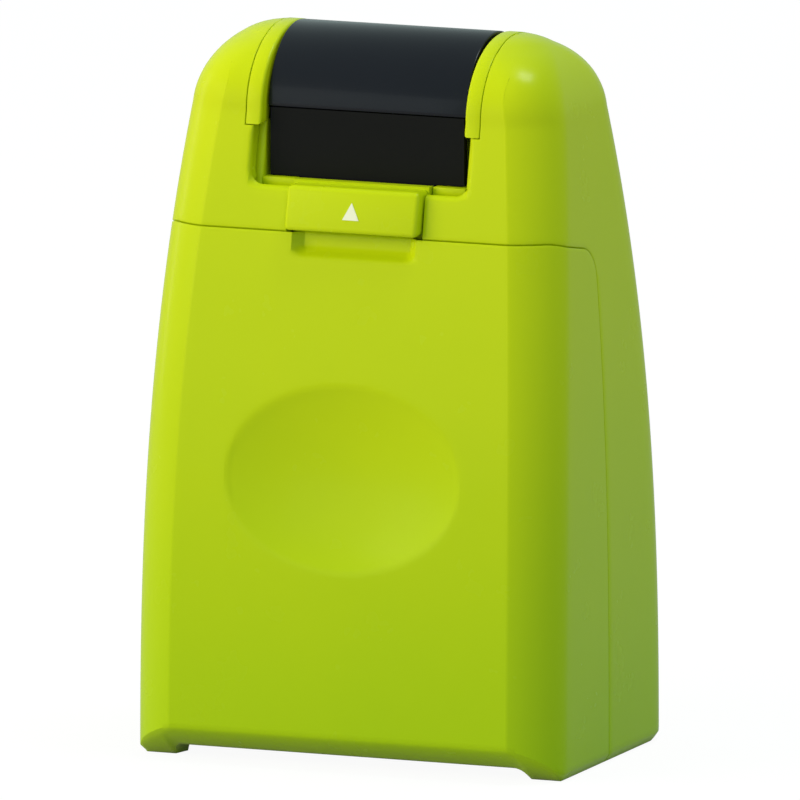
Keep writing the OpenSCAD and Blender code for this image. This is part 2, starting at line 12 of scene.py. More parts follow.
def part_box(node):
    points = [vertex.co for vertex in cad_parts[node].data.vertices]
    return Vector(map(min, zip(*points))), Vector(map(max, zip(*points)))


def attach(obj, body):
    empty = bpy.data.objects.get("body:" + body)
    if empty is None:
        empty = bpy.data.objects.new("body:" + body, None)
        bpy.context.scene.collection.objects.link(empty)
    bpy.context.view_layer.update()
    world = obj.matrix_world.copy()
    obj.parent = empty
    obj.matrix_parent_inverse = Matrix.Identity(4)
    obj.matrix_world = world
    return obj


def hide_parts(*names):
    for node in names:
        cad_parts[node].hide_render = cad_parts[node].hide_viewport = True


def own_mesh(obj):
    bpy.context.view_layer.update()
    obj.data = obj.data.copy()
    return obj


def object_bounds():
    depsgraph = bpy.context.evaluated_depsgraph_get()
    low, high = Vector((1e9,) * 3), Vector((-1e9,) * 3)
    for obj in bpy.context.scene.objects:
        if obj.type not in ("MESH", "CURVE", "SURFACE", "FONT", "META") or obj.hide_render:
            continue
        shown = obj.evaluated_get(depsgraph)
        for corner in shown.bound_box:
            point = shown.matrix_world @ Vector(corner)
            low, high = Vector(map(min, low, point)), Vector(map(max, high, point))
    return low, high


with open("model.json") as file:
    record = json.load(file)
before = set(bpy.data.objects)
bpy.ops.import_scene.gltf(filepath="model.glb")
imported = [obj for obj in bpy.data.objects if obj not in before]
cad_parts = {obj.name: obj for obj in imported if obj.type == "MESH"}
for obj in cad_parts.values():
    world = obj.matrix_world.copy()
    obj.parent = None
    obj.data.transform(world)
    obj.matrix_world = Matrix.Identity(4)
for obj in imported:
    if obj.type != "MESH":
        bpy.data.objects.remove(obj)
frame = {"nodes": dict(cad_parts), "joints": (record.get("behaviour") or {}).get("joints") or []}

bl_info = {
    "name": "Roller stamp",
    "version": (1, 0, 0),
    "blender": (4, 5, 0),
    "location": "3D View > Sidebar > Roller stamp",
    "description": "Dresses the roller stamp's frame and sets its studio stage",
    "category": "Object",
}

MM = 0.001
CAD_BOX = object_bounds()

# Places that the frame gives
JOINTS = {joint["name"]: joint for joint in frame["joints"]}
AXIS = Vector(JOINTS["shutter_swing"]["pos_m"])
INK_AXIS = Vector(JOINTS["ink_roll"]["pos_m"])
CASE_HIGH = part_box("rear_case")[1]
PANEL_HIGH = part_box("front_panel")[1]
FRAME_LOW, FRAME_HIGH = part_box("guide_frame")
SHUTTER_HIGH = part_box("shutter")[1]
BUTTON_LOW, BUTTON_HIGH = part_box("slide_button")
SPRING_LOW, SPRING_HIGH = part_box("slide_spring")
RUBBER_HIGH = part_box("stamp_rubber")[1]
FELT_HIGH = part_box("ink_felt")[1]
CARRIER_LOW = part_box("slide_carrier")[0]
CROWN_H = CASE_HIGH.z - AXIS.z


def length(name, description, default):
    """A size in metres that a user may change."""
    return FloatProperty(name=name, description=description, default=default, unit="LENGTH", precision=5)


def bearing(name, description, degrees):
    """An angle that a user may change."""
    return FloatProperty(name=name, description=description, default=math.radians(degrees), subtype="ANGLE")


def watts(name, description, default):
    """A lamp's power in watts that a user may change."""
    return FloatProperty(name=name, description=description, default=default, unit="POWER")


def colour(name, description, default):
    """A linear colour that a user may change."""
    return FloatVectorProperty(
        name=name, description=description, default=default, subtype="COLOR", size=3, min=0, max=1
    )


class StampBodySizes(bpy.types.PropertyGroup):
    """Sizes of the moulded case"""

    half_width: length("Half width", "Half of the body's width at its base", CASE_HIGH.x)
    half_depth: length("Half depth", "Half of the body's depth at its base", CASE_HIGH.y)
    taper: length("Taper", "Width lost on each side up to the roller axis", 2.9 * MM)
    head_half: length("Head half depth", "Half of the head's depth at the roller axis", 9.6 * MM)
    crown_round: length("Crown round", "Width that the crown's round takes off each side", 10.8 * MM)
    corner: length("Corner", "Radius of the upright corners", 4.7 * MM)
    wall: length("Wall", "Thickness of the moulded walls", 1.5 * MM)
    bevel_height: length("Bevel height", "Height of the rounded edge round the base", 0.9 * MM)
    bevel_inset: length("Bevel inset", "How far that edge draws in at the base", 0.6 * MM)
    slope_height: length("Slope height", "Height of the slope under the front and the back", 3.5 * MM)
    slope_depth: length("Slope depth", "Depth of that slope at the base", 4.3 * MM)
    rim: length("Rim", "Width of the flat rim under the base", 2.0 * MM)
    recess: length("Recess", "Depth of the recess under the floor", 2.0 * MM)
    seam: length("Seam height", "Height of the seam over the front panel", PANEL_HIGH.z + 0.125 * MM)
    seam_depth: length("Seam depth", "Depth position of the side seams", -0.8 * MM)
    seam_corner: length("Seam corner", "Radius of the panel's upper side corners", 3.4 * MM)
    seam_fall: length("Seam fall", "Fall of the head seam along each side", 1.2 * MM)
    seam_gap: length("Seam gap", "Width of the seams", 0.16 * MM)
    seam_lap: length("Seam lap", "How far the case laps behind the panel through the wall", 0.9 * MM)
    edge: length("Edge", "Round of the edges along the seams", 0.10 * MM)
    lip: length("Lip", "Round of the lower edges of the head opening", 0.5 * MM)


class StampDetailSizes(bpy.types.PropertyGroup):
    """Sizes of the opening, the thumb dimple and the slide, and the draw of the rubber's marks"""

    open_half: length("Opening", "Half of the opening's width over the cheeks", FRAME_HIGH.x + 0.1 * MM)
    lower_half: length("Lower opening", "Half of the opening's width below the step", 11.55 * MM)
    notch_half: length("Notch", "Half of the width of the button's notch", BUTTON_HIGH.x + 0.2 * MM)
    open_height: length("Opening height", "Height of the opening's lower edge", AXIS.z - 7.1 * MM)
    step_height: length("Step height", "Height of the step in the opening's sides", AXIS.z - 1.4 * MM)
    open_rear: length("Opening rear", "Depth position of the opening's rear edge", 5.5 * MM)
    open_corner: length("Opening corner", "Radius of the opening's lower corners", 1.3 * MM)
    swing_radius: length("Swing", "Radius kept free for the shutter", SHUTTER_HIGH.z - AXIS.z + 0.3 * MM)
    dimple_width: length("Dimple width", "Width of the thumb dimple", 25.4 * MM)
    dimple_height: length("Dimple height", "Height of the thumb dimple", 18.6 * MM)
    dimple_depth: length("Dimple depth", "Depth of the thumb dimple", 1.7 * MM)
    dimple_level: length("Dimple level", "Height of the dimple's centre", 29.2 * MM)
    scoop_half: length("Scoop", "Half of the width of the scoop under the button", 6.6 * MM)
    scoop_drop: length("Scoop drop", "Height of the scoop under the button", 2.4 * MM)
    scoop_depth: length("Scoop depth", "Depth of the scoop under the button", 1.1 * MM)
    arch_half: length("Arch", "Half of the width of the arch between the front feet", 19.0 * MM)
    arch_height: length("Arch height", "Rise of that arch", 1.3 * MM)
    button_edge: length("Button edge", "Round of the button's edges", 0.5 * MM)
    mark_seed: IntProperty(name="Mark seed", description="Seed of the marks on the rubber", default=7)


class StampFinishes(bpy.types.PropertyGroup):
    """Colours of the plastics, rubber, felt and steel"""

    lime: colour("Lime", "Colour of the case at its head", (0.60, 0.68, 0.003))
    # Painted shade: the case's colour darkens to this towards its base, standing in for less light on the
    # lower body
    lime_painted_shade: colour("Lime shade", "Colour that the case drifts to at its base", (0.34, 0.55, 0.004))
    gloss_black: colour("Gloss black", "Colour of the shutter", (0.004, 0.0045, 0.009))
    matt_black: colour("Matt black", "Colour of the cartridge", (0.006, 0.006, 0.0065))
    mark: colour("Mark", "Colour of the arrow on the button", (0.86, 0.88, 0.70))
    white: colour("White", "Colour of the roller cores", (0.72, 0.72, 0.69))
    rubber: colour("Rubber", "Colour of the printing rubber", (0.045, 0.043, 0.047))
    felt: colour("Felt", "Colour of the inked felt", (0.012, 0.011, 0.017))
    steel: colour("Steel", "Colour of pins, screws and springs", (0.56, 0.56, 0.57))


class StampStage(bpy.types.PropertyGroup):
    """Camera and studio light"""

    azimuth: bearing("Azimuth", "Turn of the camera to the object's right", 22)
    elevation: bearing("Elevation", "Rise of the camera", 9.6)
    distance: length("Distance", "Distance from the camera to its target", 2.8)
    view_width: length("View width", "Width of the picture at the target", 79.3 * MM)
    target_height: length("Target height", "Height that the camera looks at", 34.84 * MM)
    target_side: length("Target side", "Sideways place that the camera looks at", 0.05 * MM)
    key_power: watts("Key light", "Power of the key light", 7.7)
    top_power: watts("Top light", "Power of the light overhead", 3.3)
    glint_power: watts("Glint", "Power of the lights that gloss mirrors", 0.5)


class Shade:
    """One shader socket, with the operators that its values need."""

    def __init__(self, tree, socket):
        self.tree = tree
        self.socket = socket

    def maths(self, operation, *values):
        """A Math node on this value and others."""
        inputs = dict(enumerate((self, *values)))
        return node(self.tree, "ShaderNodeMath", {"operation": operation}, inputs)

    def __add__(self, other):
        return self.maths("ADD", other)

    __radd__ = __add__

    def __sub__(self, other):
        return self.maths("SUBTRACT", other)

    def __rsub__(self, other):
        return node(self.tree, "ShaderNodeMath", {"operation": "SUBTRACT"}, {0: other, 1: self})

    def __mul__(self, other):
        return self.maths("MULTIPLY", other)

    __rmul__ = __mul__

    def clamp(self):
        """This value kept between 0 and 1."""
        return node(self.tree, "ShaderNodeClamp", {}, {"Value": self})


def node(tree, kind, settings, inputs, output=0):
    """Adds a node, sets it up, feeds its sockets and gives the wanted output."""
    made = tree.nodes.new(kind)
    for name, value in settings.items():
        setattr(made, name, value)
    for name, value in inputs.items():
        socket = made.inputs[name]
        if isinstance(value, Shade):
            tree.links.new(value.socket, socket)
        else:
            socket.default_value = value
    return Shade(tree, made.outputs[output])


def object_place(tree):
    """Object coordinates."""
    return node(tree, "ShaderNodeTexCoord", {}, {}, "Object")


def noise(tree, scale, detail=2.0, roughness=0.5, stretch=(1, 1, 1)):
    """Noise over the object's own coordinates, with scale in waves per metre."""
    place = object_place(tree)
    if stretch != (1, 1, 1):
        place = node(tree, "ShaderNodeMapping", {}, {"Vector": place, "Scale": stretch})
    inputs = {"Vector": place, "Scale": scale, "Detail": detail, "Roughness": roughness}
    return node(tree, "ShaderNodeTexNoise", {}, inputs)


def mix_colour(tree, factor, first, second):
    """A colour between two others."""
    return node(
        tree, "ShaderNodeMix", {"data_type": "RGBA"},
        {"Factor": factor, "A": tone(first), "B": tone(second)}, "Result",
    )


def tone(value):
    """A colour as four numbers, or a link as it is."""
    return value if isinstance(value, Shade) else (*value, 1.0)


def bump(tree, height, strength, distance):
    """A Bump node on a height."""
    inputs = {"Height": height, "Strength": strength, "Distance": distance}
    return node(tree, "ShaderNodeBump", {}, inputs, "Normal")


def material(name, constants, vary):
    """A material whose shader has plain values and the links that vary gives."""
    made = bpy.data.materials.new(name)
    made.use_nodes = True
    tree = made.node_tree
    shader = tree.nodes["Principled BSDF"]
    for socket, value in constants.items():
        shader.inputs[socket].default_value = value
    for socket, value in vary(tree).items():
        tree.links.new(value.socket, shader.inputs[socket])
    return made


# Waves per metre of the patterns in the finishes
COLOUR_WAVES = 38.0
SMEAR_WAVES = 210.0
GRAIN_WAVES = 5200.0
BRUSH_WAVES = 900.0
BLOOM_WAVES = 260.0
PIT_WAVES = 3600.0
FIBRE_WAVES = 2600.0
WET_WAVES = 240.0
# Depths of their relief
GRAIN_DEPTH = 0.02 * MM
PIT_DEPTH = 0.03 * MM
FIBRE_DEPTH = 0.12 * MM
# How uneven the gloss of a moulded plastic is
SMEAR_DEPTH = 0.10
# How much of the case's colour follows its height as painted shade, and how much a slow random drift
PAINTED_SHADE_SHARE = 0.75
DRIFT_SHARE = 0.25


def shaded(main, factor):
    """A colour made darker or lighter by a factor."""
    return tuple(factor * part for part in main)


def moulded_plastic(name, main, shade, rough, grain, coat=0.0, gloss=0.5, rise=0.0):
    """Moulded plastic with a slow drift of colour, uneven gloss and a fine grain; with a rise, also painted
    shade darkening towards the base.
    """

    def vary(tree):
        drift = noise(tree, COLOUR_WAVES, detail=3.0)
        # With a rise, painted shade: the colour goes to the shade colour lower down, in place of less light
        # there
        if rise > 0:
            height = node(tree, "ShaderNodeSeparateXYZ", {}, {"Vector": object_place(tree)}, "Z")
            drift = drift * DRIFT_SHARE + (1 - (height * (1 / rise)).clamp()) * PAINTED_SHADE_SHARE
        smear = noise(tree, SMEAR_WAVES, detail=3.0, roughness=0.6)
        fine = noise(tree, GRAIN_WAVES)
        return {
            "Base Color": mix_colour(tree, drift, main, shade),
            "Roughness": (rough + (smear - 0.5) * SMEAR_DEPTH).clamp(),
            "Normal": bump(tree, fine, grain, GRAIN_DEPTH),
        }

    constants = {"IOR": 1.49, "Specular IOR Level": gloss, "Coat Weight": coat, "Coat Roughness": 0.06}
    return material(name, constants, vary)


def lime_plastic(name, main, rough, grain, coat=0.0):
    """The case's plastic, whose colour darkens to its painted shade towards the base."""
    shade = tuple(bpy.context.scene.stamp_finishes.lime_painted_shade)
    return moulded_plastic(name, main, shade, rough, grain, coat, gloss=0.14, rise=CASE_HIGH.z)


def plain_plastic(name, main, drift, **values):
    """A plastic whose colour drifts to one darker or lighter by a factor."""
    return moulded_plastic(name, main, shaded(main, drift), **values)


def brushed_steel(name, main, stretch):
    """Drawn steel with fine lines along one direction."""

    def vary(tree):
        lines = noise(tree, BRUSH_WAVES, detail=4.0, roughness=0.6, stretch=stretch)
        return {
            "Base Color": mix_colour(tree, lines, main, shaded(main, 0.72)),
            "Roughness": (0.24 + lines * 0.18).clamp(),
            "Normal": bump(tree, lines, strength=0.15, distance=GRAIN_DEPTH),
        }

    return material(name, {"Metallic": 1.0}, vary)


def soft_rubber(name, main):
    """Matt rubber with a dusty bloom and small pits."""

    def vary(tree):
        bloom = noise(tree, BLOOM_WAVES, detail=4.0, roughness=0.6)
        pits = noise(tree, PIT_WAVES)
        return {
            "Base Color": mix_colour(tree, bloom, main, shaded(main, 1.7)),
            "Roughness": (0.58 + bloom * 0.2).clamp(),
            "Normal": bump(tree, pits, strength=0.25, distance=PIT_DEPTH),
        }

    return material(name, {"IOR": 1.52}, vary)


def inked_felt(name, main):
    """Felt soaked with ink: matted fibres with wet patches."""

    def vary(tree):
        fibre = noise(tree, FIBRE_WAVES, detail=5.0, roughness=0.7, stretch=(1, 2.5, 2.5))
        wet = noise(tree, WET_WAVES, detail=3.0)
        return {
            "Base Color": mix_colour(tree, fibre, main, shaded(main, 2.6)),
            "Roughness": (0.95 - wet * 0.35).clamp(),
            "Normal": bump(tree, fibre, strength=0.6, distance=FIBRE_DEPTH),
        }

    return material(name, {"Sheen Weight": 0.2}, vary)


# Each finish: what makes it, its colour and its own values
MAKERS = {
    # The case's finishes hold painted shade, darker towards the base
    "lime_case": (lime_plastic, "lime", {"rough": 0.26, "grain": 0.06, "coat": 0.03}),
    "lime_inner": (lime_plastic, "lime", {"rough": 0.36, "grain": 0.10}),
    "gloss_shutter": (
        plain_plastic, "gloss_black",
        {"drift": 1.3, "rough": 0.22, "grain": 0.04, "coat": 0.1, "gloss": 0.25},
    ),
    "matt_cartridge": (
        plain_plastic, "matt_black",
        {"drift": 1.25, "rough": 0.55, "grain": 0.2, "gloss": 0.12},
    ),
    "arrow_print": (plain_plastic, "mark", {"drift": 0.94, "rough": 0.42, "grain": 0.1}),
    "white_core": (plain_plastic, "white", {"drift": 0.93, "rough": 0.38, "grain": 0.1, "coat": 0.05}),
    "printing_rubber": (soft_rubber, "rubber", {}),
    "inked_felt": (inked_felt, "felt", {}),
    "drawn_steel": (brushed_steel, "steel", {"stretch": (1, 12, 12)}),
    "spring_steel": (brushed_steel, "steel", {"stretch": (6, 6, 6)}),
}
FINISHES = {}


def finish(name):
    """The finish of that name, made when it is first asked for."""
    if name not in FINISHES:
        maker, tone_name, values = MAKERS[name]
        main = tuple(getattr(bpy.context.scene.stamp_finishes, tone_name))
        FINISHES[name] = maker(name, main, **values)
    return FINISHES[name]


# Share of a step by which a stretch may be longer without one more step
STEP_SLACK = 0.001


def spread(stops, step):
    """The stops with even steps between them, none longer than step."""
    places = [stops[0]]
    for low, high in zip(stops, stops[1:]):
        count = max(1, math.ceil(abs(high - low) / step - STEP_SLACK))
        places += [low + (high - low) * i / count for i in range(1, count + 1)]
    return places


def between(low, high, share):
    """The value at a share of the way from low to high."""
    return low + (high - low) * share


def smooth_step(low, high, value):
    """0 below low, 1 above high and a smooth rise between them."""
    share = min(max((value - low) / (high - low), 0.0), 1.0)
    return share * share * (3 - 2 * share)


# One upright line over the body: its kind, its side, its place there and where the seam crosses it
Spoke = namedtuple("Spoke", "kind side place seam")
# One level round the body: its kind and its share or angle
Level = namedtuple("Level", "kind value")

QUARTER = math.pi / 2
# Powers of the height that the body tapers on, of the crown's round and of the foot's edge
WIDTH_POWER = 2.7
DEPTH_POWER = 2.2
CROWN_POWER = 0.5
FOOT_POWER = 1.3
# The straight side that the seam's place needs
FLAT_REACH = 4.0 * MM
# The least radius of a corner, and its largest share of the crown's depth
LEAST_CORNER = 0.7 * MM
CROWN_CORNER = 0.96
# Spokes keep their place across up to this far beside the opening, and the crown stays wider by the next
FIXED_MARGIN = 0.1 * MM
CROWN_MARGIN = 0.05 * MM
# Angles over the crown between which the other spokes spread out evenly
EVEN_START = math.radians(5)
EVEN_END = math.radians(46)
# Share of that spread which the spokes between the opening and the corner take
EDGE_SHARE = 0.3
# Steps of the body's mesh
FOOT_STEPS = 8
FLOOR_STEP = 0.15 * MM
ARC_STEP = math.radians(8)
TURN_STEP = math.radians(8)
FINE_TURN = math.radians(70)
FINE_TURN_STEP = math.radians(2.5)
SHARE_STEP = 0.17
FINE_SHARE = 0.86
FINE_SHARE_STEP = 0.04
CROWN_STEP = math.radians(4)
SIDE_STEP = 0.9 * MM
FRONT_STEP = 0.5 * MM
BACK_STEP = 1.0 * MM
BACK_SIDE_STEP = 0.09
RISE_STEP = 0.012
LIP_SHARES = (0.25, 0.6, 1)
# The scoop's corners and slope, and the share of its depth that the inside has
SCOOP_CORNER = 1.1 * MM
SCOOP_SLOPE = (-0.1 * MM, 1.0 * MM)
SCOOP_INSIDE = 0.5
# Finer levels of the mesh by the scoop's lower edge
SCOOP_BELOW = 0.4 * MM
SCOOP_ABOVE = 0.5 * MM
SCOOP_FINE_STEP = 0.15 * MM
SCOOP_STEP = 0.35 * MM
# Share of the dimple's reach that its rim takes
DIMPLE_RIM = 0.06
# The height over which the opening's rounded lip ends below the step
LIP_FADE = 0.8 * MM
# Points up to this far beside the lower opening lie on its edges
LIP_MARGIN = 0.05 * MM
# Points closer than this are at the same place, and closer than the next are merged
TOUCH = 0.01 * MM
MERGE = 0.002 * MM
# Faces that meet at more than this have a sharp edge between them
SHARP_ANGLE = math.radians(50)
# The front corners leave the front with a soft crease and go round on an ellipse
CREASE = math.radians(18)
CREASE_END = math.radians(60)
CREASE_FADE = math.radians(40)
CORNER_WIDE = 1 / (1 - math.cos(CREASE_END))
CORNER_DEEP = math.tan(CREASE) * CORNER_WIDE * math.tan(CREASE_END)


class BodyForm:
    """The outer form of the body, and the form drawn in by a wall."""

    def __init__(self, seam_shift):
        size = self.size = bpy.context.scene.stamp_body
        self.detail = bpy.context.scene.stamp_detail
        self.fixed_half = self.detail.open_half + FIXED_MARGIN
        self.floor = size.recess + size.wall
        self.seam_y = size.seam_depth + seam_shift
        self.seam_z = size.seam + seam_shift
        self.arc_r = size.seam_corner + seam_shift
        self.arc_y = size.seam_depth - size.seam_corner
        self.arc_z = size.seam - size.seam_fall - size.seam_corner
        self.flat_end = size.wall - self.half_d(size.seam)
        run, drop = self.arc_y - self.flat_end, self.arc_z - self.seam_z
        far = math.hypot(run, drop)
        fall = math.atan2(drop, run) + math.asin(self.arc_r / far)
        reach = math.sqrt(far * far - self.arc_r ** 2)
        self.touch_y = self.flat_end + reach * math.cos(fall)
        self.touch_z = self.seam_z + reach * math.sin(fall)

    def half_w(self, z):
        """Half of the body's width at a height."""
        return self.size.half_width - self.size.taper * pow(max(z, 0) / AXIS.z, WIDTH_POWER)

    def half_d(self, z):
        """Half of the body's depth at a height."""
        size = self.size
        taper = size.half_depth - size.head_half
        return size.half_depth - taper * pow(max(z, 0) / AXIS.z, DEPTH_POWER)

    def seam_height(self, y):
        """Height of the head seam at a depth: level in front, then falling, then round the corner."""
        if y <= self.flat_end:
            return self.seam_z
        if y <= self.touch_y:
            share = (y - self.flat_end) / (self.touch_y - self.flat_end)
            return between(self.seam_z, self.touch_z, share)
        return self.arc_z + math.sqrt(max(self.arc_r ** 2 - (y - self.arc_y) ** 2, 0.0))

    def seam_lap(self, off):
        """How far the case laps behind the panel at a depth in the wall."""
        return self.size.seam_lap if off >= self.size.wall else 0.0

    def section(self, z, inset):
        """Half width, half depth and corner radius of the body at a height."""
        return self.half_w(z) - inset, self.half_d(z) - inset, max(self.size.corner - inset, LEAST_CORNER)

    def crown_section(self, turn, off):
        """The same over the crown, with the height."""
        size = self.size
        b = max((size.head_half - off) * math.cos(turn), 0.0)
        lean = size.taper * WIDTH_POWER / AXIS.z * CROWN_H
        rounded = 1 - pow(max(math.cos(turn), 0.0), CROWN_POWER)
        taken = (size.crown_round - lean) * rounded + lean * math.sin(turn)
        a = max(self.half_w(AXIS.z) - off - taken, self.fixed_half + CROWN_MARGIN)
        corner = min(max(size.corner - off, LEAST_CORNER), CROWN_CORNER * b)
        return a, b, corner, AXIS.z + (CROWN_H - off) * math.sin(turn)

    def side_places(self):
        """Shares of the way along a side's front part, with the seam's height at each."""
        end = self.size.corner - self.half_d(self.size.seam)
        touch = math.atan2(self.touch_z - self.arc_z, self.touch_y - self.arc_y)
        arc = [self.arc_y + self.arc_r * math.cos(t) for t in spread([0, touch], ARC_STEP)]
        places = arc[:-1] + spread([self.touch_y, end], SIDE_STEP)
        return [((y - self.seam_y) / (end - self.seam_y), self.seam_height(y)) for y in places]

    def corner_turns(self):
        """Angles round a corner from the side to the front, finer by the ends of the arch."""
        return spread([0, FINE_TURN], TURN_STEP) + spread([FINE_TURN, QUARTER], FINE_TURN_STEP)[1:]

    def edge_shares(self):
        """Shares from the corner to the part with fixed places, finer by the ends of the arch."""
        return spread([1, FINE_SHARE], FINE_SHARE_STEP) + spread([FINE_SHARE, 0], SHARE_STEP)[1:]

    def round_trip(self, half, flat):
        """Spokes of one side, of the flat between the sides and of the other side."""
        return half + flat + [spoke._replace(side=-spoke.side) for spoke in reversed(half)]

    def front_spokes(self):
        """Spokes from the right seam round the front to the left seam."""
        side = self.side_places()
        b, r = self.half_d(self.size.seam), self.size.corner
        corner = [(turn, self.seam_height(r - b - r * math.sin(turn))) for turn in self.corner_turns()]
        detail, lip = self.detail, self.size.lip
        stops = [0, detail.scoop_half - FRONT_STEP, detail.scoop_half, detail.notch_half]
        stops += [detail.lower_half - detail.open_corner, detail.lower_half]
        stops += [detail.lower_half + share * lip for share in LIP_SHARES]
        stops += [detail.open_half, self.fixed_half]
        right = spread(stops, FRONT_STEP)
        half = [Spoke("side_front", 1, share, z) for share, z in side]
        half += [Spoke("corner_front", 1, turn, z) for turn, z in corner[1:]]
        half += [Spoke("edge_front", 1, share, self.seam_z) for share in self.edge_shares()[1:-1]]
        across = right[:0:-1] + [-x for x in right]
        return self.round_trip(half, [Spoke("flat_front", 0, x, self.seam_z) for x in across])

    def back_spokes(self):
        """Spokes from the left seam round the back to the right seam, without the seams."""
        right = spread([0, self.detail.open_half, self.fixed_half], BACK_STEP)
        low = self.arc_z
        half = [Spoke("side_back", -1, share, low) for share in spread([0, 1], BACK_SIDE_STEP)[1:]]
        half += [Spoke("corner_back", -1, turn, low) for turn in self.corner_turns()[1:]]
        half += [Spoke("edge_back", -1, share, low) for share in self.edge_shares()[1:-1]]
        across = [-x for x in right[::-1]] + right[1:]
        return self.round_trip(half, [Spoke("flat_back", 0, x, low) for x in across])

    def point(self, spoke, z, inset):
        """Where a spoke meets the body at a height, drawn in by an inset."""
        a, b, r = self.section(z, inset)
        kind, facing = spoke.kind.split("_")
        front = -1 if facing == "front" else 1
        if kind == "side":
            start = self.seam_y * min(1.0, (b - r) / FLAT_REACH) - self.seam_lap(inset)
            return Vector((spoke.side * a, between(start, front * (b - r), spoke.place), z))
        if kind == "corner" and facing == "front":
            return self.front_corner(spoke, a, b, r, z)
        if kind == "corner":
            x = spoke.side * (a - r + r * math.cos(spoke.place))
            return Vector((x, b - r + r * math.sin(spoke.place), z))
        if kind == "edge":
            return Vector((spoke.side * between(self.fixed_half, a - r, spoke.place), front * b, z))
        return Vector((spoke.place, front * b, z))

    def front_corner(self, spoke, a, b, r, z):
        """A point round a front corner, which starts from the front with a soft crease."""
        wide, deep, turn = r * CORNER_WIDE, r * CORNER_DEEP, spoke.place / QUARTER * CREASE_END
        y = b - deep * (math.sin(CREASE_END) - math.sin(turn))
        return Vector((spoke.side * (a - wide + wide * math.cos(turn)), -y, z))

    def crown_point(self, spoke, turn, off):
        """Where a spoke meets the crown at an angle from the roller axis."""
        a, b, r, z = self.crown_section(turn, off)
        kind, facing = spoke.kind.split("_")
        front = -1 if facing == "front" else 1
        if kind == "side":
            start = self.seam_y * min(1.0, (b - r) / FLAT_REACH)
            return Vector((spoke.side * a, between(start, front * (b - r), spoke.place), z))
        if kind == "flat":
            past = min(max(abs(spoke.place) - (a - r), 0.0), r)
            return Vector((spoke.place, front * (b - r + math.sqrt(r * r - past * past)), z))
        straight = max(a - r - self.fixed_half, 0.0)
        past = min(max(self.fixed_half - (a - r), 0.0), r)
        begin = math.acos(past / r) if r > 0 else 0.0
        if kind == "edge":
            own, even = straight * spoke.place, EDGE_SHARE * spoke.place
        else:
            own = straight + r * begin * (1 - spoke.place / QUARTER)
            even = EDGE_SHARE + (1 - EDGE_SHARE) * (1 - spoke.place / QUARTER)
        weight = smooth_step(EVEN_START, EVEN_END, turn)
        run = between(own, even * (straight + r * begin), weight)
        if run <= straight:
            return Vector((spoke.side * (self.fixed_half + run), front * b, z))
        angle = begin - (run - straight) / r
        x, y = a - r + r * math.cos(angle), b - r + r * math.sin(angle)
        point = Vector((spoke.side * x, front * y, z))
        if spoke.kind == "corner_front":
            fade = smooth_step(0.0, CREASE_FADE, turn)
            point = self.front_corner(spoke, a, b, r, z).lerp(point, fade)
        return point

    def foot_top(self, spoke):
        """Height at which a spoke leaves the rounded edge or the slope under the body."""
        size = self.size
        past = abs(self.point(spoke, 0.0, 0.0).y) - (size.half_depth - size.slope_depth)
        return max(size.bevel_height, size.slope_height * past / size.slope_depth)

    def foot_point(self, spoke, level, lift):
        """A spoke's points under the body: the recess, the rim and the foot's edge or slope."""
        size = self.size
        rest = size.half_depth - size.slope_depth
        if level.kind in ("recess", "rim"):
            point = self.point(spoke, 0.0, size.bevel_inset + size.rim)
            point.y = math.copysign(min(abs(point.y), rest - size.rim), point.y)
            point.z = size.recess if level.kind == "recess" else lift
            return point
        top = self.foot_top(spoke)
        high = self.point(spoke, top, 0.0)
        low = self.point(spoke, 0.0, size.bevel_inset)
        low.y = math.copysign(min(abs(low.y), rest + lift * size.slope_depth / size.slope_height), low.y)
        point = low.lerp(high, 1 - pow(1 - level.value, FOOT_POWER))
        point.z = between(lift, top, level.value)
        return point

    def base_levels(self):
        """Levels from the recess under the floor round the rim and up the foot."""
        feet = [Level("foot", i / FOOT_STEPS) for i in range(FOOT_STEPS)]
        return [Level("recess", 0.0), Level("rim", 0.0)] + feet

    def floor_point(self, spoke, rows_left):
        """A spoke's points on the floor inside, where the rows under the body come together."""
        return self.point(spoke, self.floor, self.size.wall + FLOOR_STEP * rows_left)


def grid_skin(bm, columns, rows, place):
    """A grid of columns and rows whose points place gives, with the grid's numbers kept on it."""
    column_of = bm.verts.layers.int.get("column") or bm.verts.layers.int.new("column")
    row_of = bm.verts.layers.int.get("row") or bm.verts.layers.int.new("row")
    made = bmesh.ops.create_grid(bm, x_segments=columns - 1, y_segments=rows - 1, size=1.0)
    for vert in made["verts"]:
        column = round((vert.co.x + 1) / 2 * (columns - 1))
        row = round((vert.co.y + 1) / 2 * (rows - 1))
        vert[column_of] = column
        vert[row_of] = row
        vert.co = place(column, row)
    return made["verts"]


def cell_of(bm, face):
    """The lowest column and row of a face of a grid skin."""
    column_of = bm.verts.layers.int["column"]
    row_of = bm.verts.layers.int["row"]
    return min(v[column_of] for v in face.verts), min(v[row_of] for v in face.verts)


def faces_of(verts):
    """The faces between those points."""
    known = set(verts)
    return {face for vert in verts for face in vert.link_faces if all(v in known for v in face.verts)}


def close_floor(bm, verts):
    """Fills the floor inside the lowest row of a skin."""
    row_of = bm.verts.layers.int["row"]
    chain = [vert for vert in verts if vert[row_of] == 0]
    known = set(chain)
    edges = {edge for vert in chain for edge in vert.link_edges if edge.is_boundary}
    bmesh.ops.contextual_create(bm, geom=chain + [edge for edge in edges if set(edge.verts) <= known])


